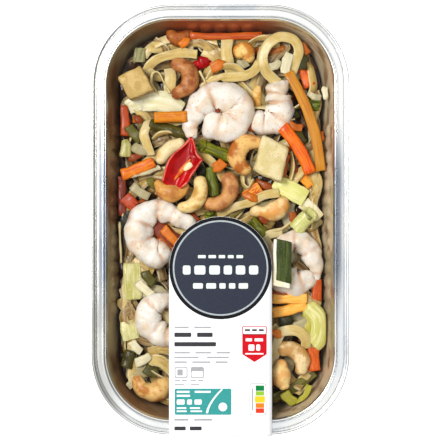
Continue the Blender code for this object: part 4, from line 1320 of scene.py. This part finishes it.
# Small cut vegetables among the noodles: those that show, and loose ones lower down
bits = {
    "carrotBits": {"slot": "carrot", "dark": (140, 62, 18), "light": (232, 142, 40), "loose": 26,
        "wide": (1.2, 2.2), "long": (5, 11), "shown": [(0.9, 30.0, -20.2, 88.6, -17.4, 92.0, 2.0),
        (0.8, 31.0, -4.2, 77.4, 0.4, 80.6, 2.6), (0.8, 29.0, -3.4, 26.4, 1.0, 29.0, 2.6),
        (0.5, 29.0, 34.2, 49.0, 41.4, 46.6, 2.0), (0.5, 28.0, 42.0, 90.4, 44.2, 84.6, 1.8),
        (0.6, 28.5, 50.6, 44.6, 51.8, 40.2, 2.0), (0.9, 31.0, 27.0, -56.8, 30.2, -58.4, 2.2),
        (0.1, 28.0, -42.4, 52.4, -40.0, 50.2, 1.6), (0.1, 28.0, -46.6, 31.4, -40.6, 33.6, 1.8),
        (0.1, 28.6, 21.0, 2.4, 23.6, -1.0, 2.0), (0.3, 29.0, 37.0, 3.4, 38.6, -2.4, 2.0),
        (0.2, 28.6, 12.8, 50.4, 17.6, 46.6, 2.6), (0.1, 28.6, -15.0, 3.0, -11.6, -1.6, 2.4),
        (0.2, 28.8, 27.4, -36.0, 35.0, -38.4, 2.4), (0.4, 30.0, 34.4, 33.0, 32.4, 22.0, 1.4),
        (0.7, 30.2, 12.4, 13.4, 18.4, 10.6, 2.0), (0.0, 26.0, -33.4, -2.0, -21.0, -13.0, 4.6),
        (0.35, 28.0, -31.9, -9.4, -20.6, -18.6, 2.2), (0.85, 29.4, -29.0, -4.6, -16.6, -16.2, 2.2),
        (0.0, 34.4, -2.6, 55.4, -0.4, 56.2, 1.0)]},
    "greenBits": {"slot": "bean", "dark": (46, 46, 12), "light": (130, 122, 40), "loose": 26,
        "wide": (1.2, 2.4), "long": (4, 10), "shown": [(0.0, 32.0, -9.2, 66.8, 0.6, 70.4, 1.4),
        (0.0, 29.0, -11.4, 27.4, -8.2, 22.6, 2.6), (0.2, 28.0, 44.6, 60.0, 46.0, 49.0, 2.4),
        (0.3, 28.0, 39.8, 45.4, 42.6, 38.6, 2.4), (0.7, 28.0, -46.8, 47.4, -40.4, 41.0, 2.8),
        (0.6, 28.0, -40.0, 50.6, -38.0, 45.0, 2.0), (0.2, 29.0, 43.0, 83.4, 41.4, 76.6, 2.6),
        (1.0, 29.0, -36.4, 21.0, -33.0, 17.0, 1.8), (0.5, 28.0, -38.6, -26.6, -34.0, -32.4, 2.6),
        (0.1, 28.0, 30.0, -52.4, 36.0, -50.0, 2.6), (0.4, 29.0, -38.4, -76.0, -32.0, -78.4, 2.4),
        (0.0, 27.0, -52.0, -4.0, -46.6, 4.0, 2.2)]},
    "limeBits": {"slot": "leek", "dark": (112, 108, 30), "light": (192, 186, 72), "loose": 0,
        "wide": (1, 2), "long": (4, 8), "shown": [(0.7, 30.6, 32.6, -88.4, 38.8, -94.2, 2.6),
        (0.95, 31.4, 39.6, -94.6, 45.4, -84.4, 1.7)]},
    "leekBits": {"slot": "leek", "dark": (140, 124, 62), "light": (236, 228, 196), "loose": 60,
        "wide": (1.8, 4.2), "long": (8, 18), "shown": [(0.95, 31.6, 35.6, 84.6, 33.0, 74.6, 2.5),
        (0.6, 29.0, -47.4, 22.6, -31.2, 26.8, 1.6), (0.4, 28.0, -45.0, 17.4, -36.4, 11.6, 2.2),
        (0.35, 28.6, -44.2, 37.4, -38.4, 35.2, 2.6), (0.3, 29.4, 22.4, -9.4, 27.4, -15.6, 2.8),
        (0.4, 30.0, 37.6, -55.4, 44.4, -52.0, 3.0), (1.0, 29.6, -42.4, -31.4, -34.6, -38.4, 2.2),
        (0.7, 28.0, -43.0, -28.4, -37.6, -33.8, 1.4), (0.9, 28.6, -45.2, -62.4, -40.4, -67.6, 2.0),
        (0.9, 29.4, -43.2, -73.0, -36.4, -69.6, 2.2), (1.0, 34.6, 53.4, 67.6, 54.2, 62.0, 1.5),
        (0.6, 29.6, 45.0, 64.4, 51.0, 62.0, 1.6), (0.4, 30.0, 8.6, 79.0, 13.4, 80.2, 2.2),
        (0.6, 31.0, 24.6, 77.4, 29.8, 80.2, 2.2), (0.7, 28.6, 11.0, 66.0, 15.4, 59.0, 2.2),
        (0.5, 28.0, -47.6, -86.0, -44.0, -80.0, 2.0)]},
}


def bitMaterial(name, look):
    material, tree, shader = newMaterial(name, 0.36, **{"Coat Weight": 0.1, "Coat Roughness": 0.12,
                                                     "Specular IOR Level": 0.18})
    place = put(tree, "ShaderNodeTexCoord")
    tone = put(tree, "ShaderNodeAttribute", attribute_name="tone").outputs["Fac"]
    colour = mixColour(tree, tone, deep(*look["dark"]), deep(*look["light"]))
    fibres = patches(tree, place.outputs["UV"], 4, 0.35, 0.7, (5, 0.7, 1))
    colour = mixColour(tree, fibres, colour, mixColour(tree, 0.25, colour, deep(*look["dark"])))
    tree.links.new(colour, shader.inputs["Base Color"])
    relief(tree, shader, place.outputs["Object"], 900, 0.25)
    return material


for name, look in bits.items():
    made = []
    flat = 0.7 if name == "carrotBits" else 0.35
    for tone, z, x1, y1, x2, y2, half in look["shown"]:
        ends = [value * spread(z) for value in (x1, y1, x2, y2)]
        soft = name == "leekBits" and len(made) % 2
        stick = baton(f"{name}{len(made)}", ends, (half, half * flat), 0.6, 0.5, square=2.4 if soft else 4.5,
                      cut="round" if soft else "cut", count=10, around=14, z=z)
        made.append(giveTone(roughen(stick, 3.0, 0.8, len(made) + 300), tone))
    while len(made) < len(look["shown"]) + look["loose"]:
        x, y = draw.uniform(-54, 54), draw.uniform(-98, 98)
        heading, length = draw.uniform(0, math.pi), draw.uniform(*look["long"])
        if wallRoom(x + length / 2 * math.cos(heading), y + length / 2 * math.sin(heading)) < length / 2 + 1:
            continue
        ends = (x, y, x + length * math.cos(heading), y + length * math.sin(heading))
        half = draw.uniform(*look["wide"])
        soft = name == "leekBits" and len(made) % 3
        stick = baton(f"{name}{len(made)}", ends, (half, half * flat * 0.8), draw.uniform(-2, 2),
                      draw.uniform(0, 1.6),
                      square=2.4 if soft else 4.5, cut="round" if soft else "cut", count=7, around=10,
                      z=draw.uniform(22.0, 27.0))
        made.append(giveTone(roughen(stick, 4.0, 1.1, len(made)), draw.uniform(0.0, 0.75)))
    belong(dress(keepInside(joinPieces(name, made)), bitMaterial(name + " cut", look)))
print("small pieces scattered")


# Floor, light and camera
studio = {"floorSize": 3.0, "keyFrom": (-0.46, 0.24, 0.99), "keySize": 0.4, "keyPower": 10.4, "lens": 150.0,
          "frameWidth": 0.2244, "aim": (-0.00026, -0.00026), "focusHeight": 0.04}

bpy.ops.mesh.primitive_plane_add(size=studio["floorSize"], location=(0, 0, 0))
floor = bpy.context.object
floor.name = "studioFloor"
floorMaterial, floorTree, floorShader = newMaterial("pale floor", 0.7, **{
    "Base Color": tint(244, 244, 244), "Emission Color": (1, 1, 1, 1), "Emission Strength": 0.8})
dress(floor, floorMaterial)

keyLight = bpy.data.lights.new("key", "AREA")
keyLight.shape = "DISK"
keyLight.size = studio["keySize"]
keyLight.energy = studio["keyPower"]
key = bpy.data.objects.new("key", keyLight)
bpy.context.scene.collection.objects.link(key)
key.location = studio["keyFrom"]
key.rotation_euler = (Vector((0, 0, 0.03)) - key.location).to_track_quat("-Z", "Y").to_euler()

world = bpy.data.worlds.new("studio")
bpy.context.scene.world = world
world.use_nodes = True
sky = world.node_tree
direction = put(sky, "ShaderNodeTexCoord").outputs["Generated"]
height = put(sky, "ShaderNodeSeparateXYZ", {0: direction}).outputs["Z"]
level = slope(sky, height, 0.45, 0.92, 0.16, 1.05, "SMOOTHSTEP")
sky.links.new(level, sky.nodes["Background"].inputs["Strength"])
sky.nodes["Background"].inputs["Color"].default_value = (1, 1, 1, 1)

cameraData = bpy.data.cameras.new("camera")
camera = bpy.data.objects.new("camera", cameraData)
bpy.context.scene.collection.objects.link(camera)
bpy.context.scene.camera = camera
cameraData.lens = studio["lens"]
cameraData.clip_end = 10
distance = studio["frameWidth"] * studio["lens"] / cameraData.sensor_width
camera.location = (*studio["aim"], studio["focusHeight"] + distance)
camera.rotation_euler = (0, 0, 0)
bpy.context.scene.view_settings.view_transform = "Standard"
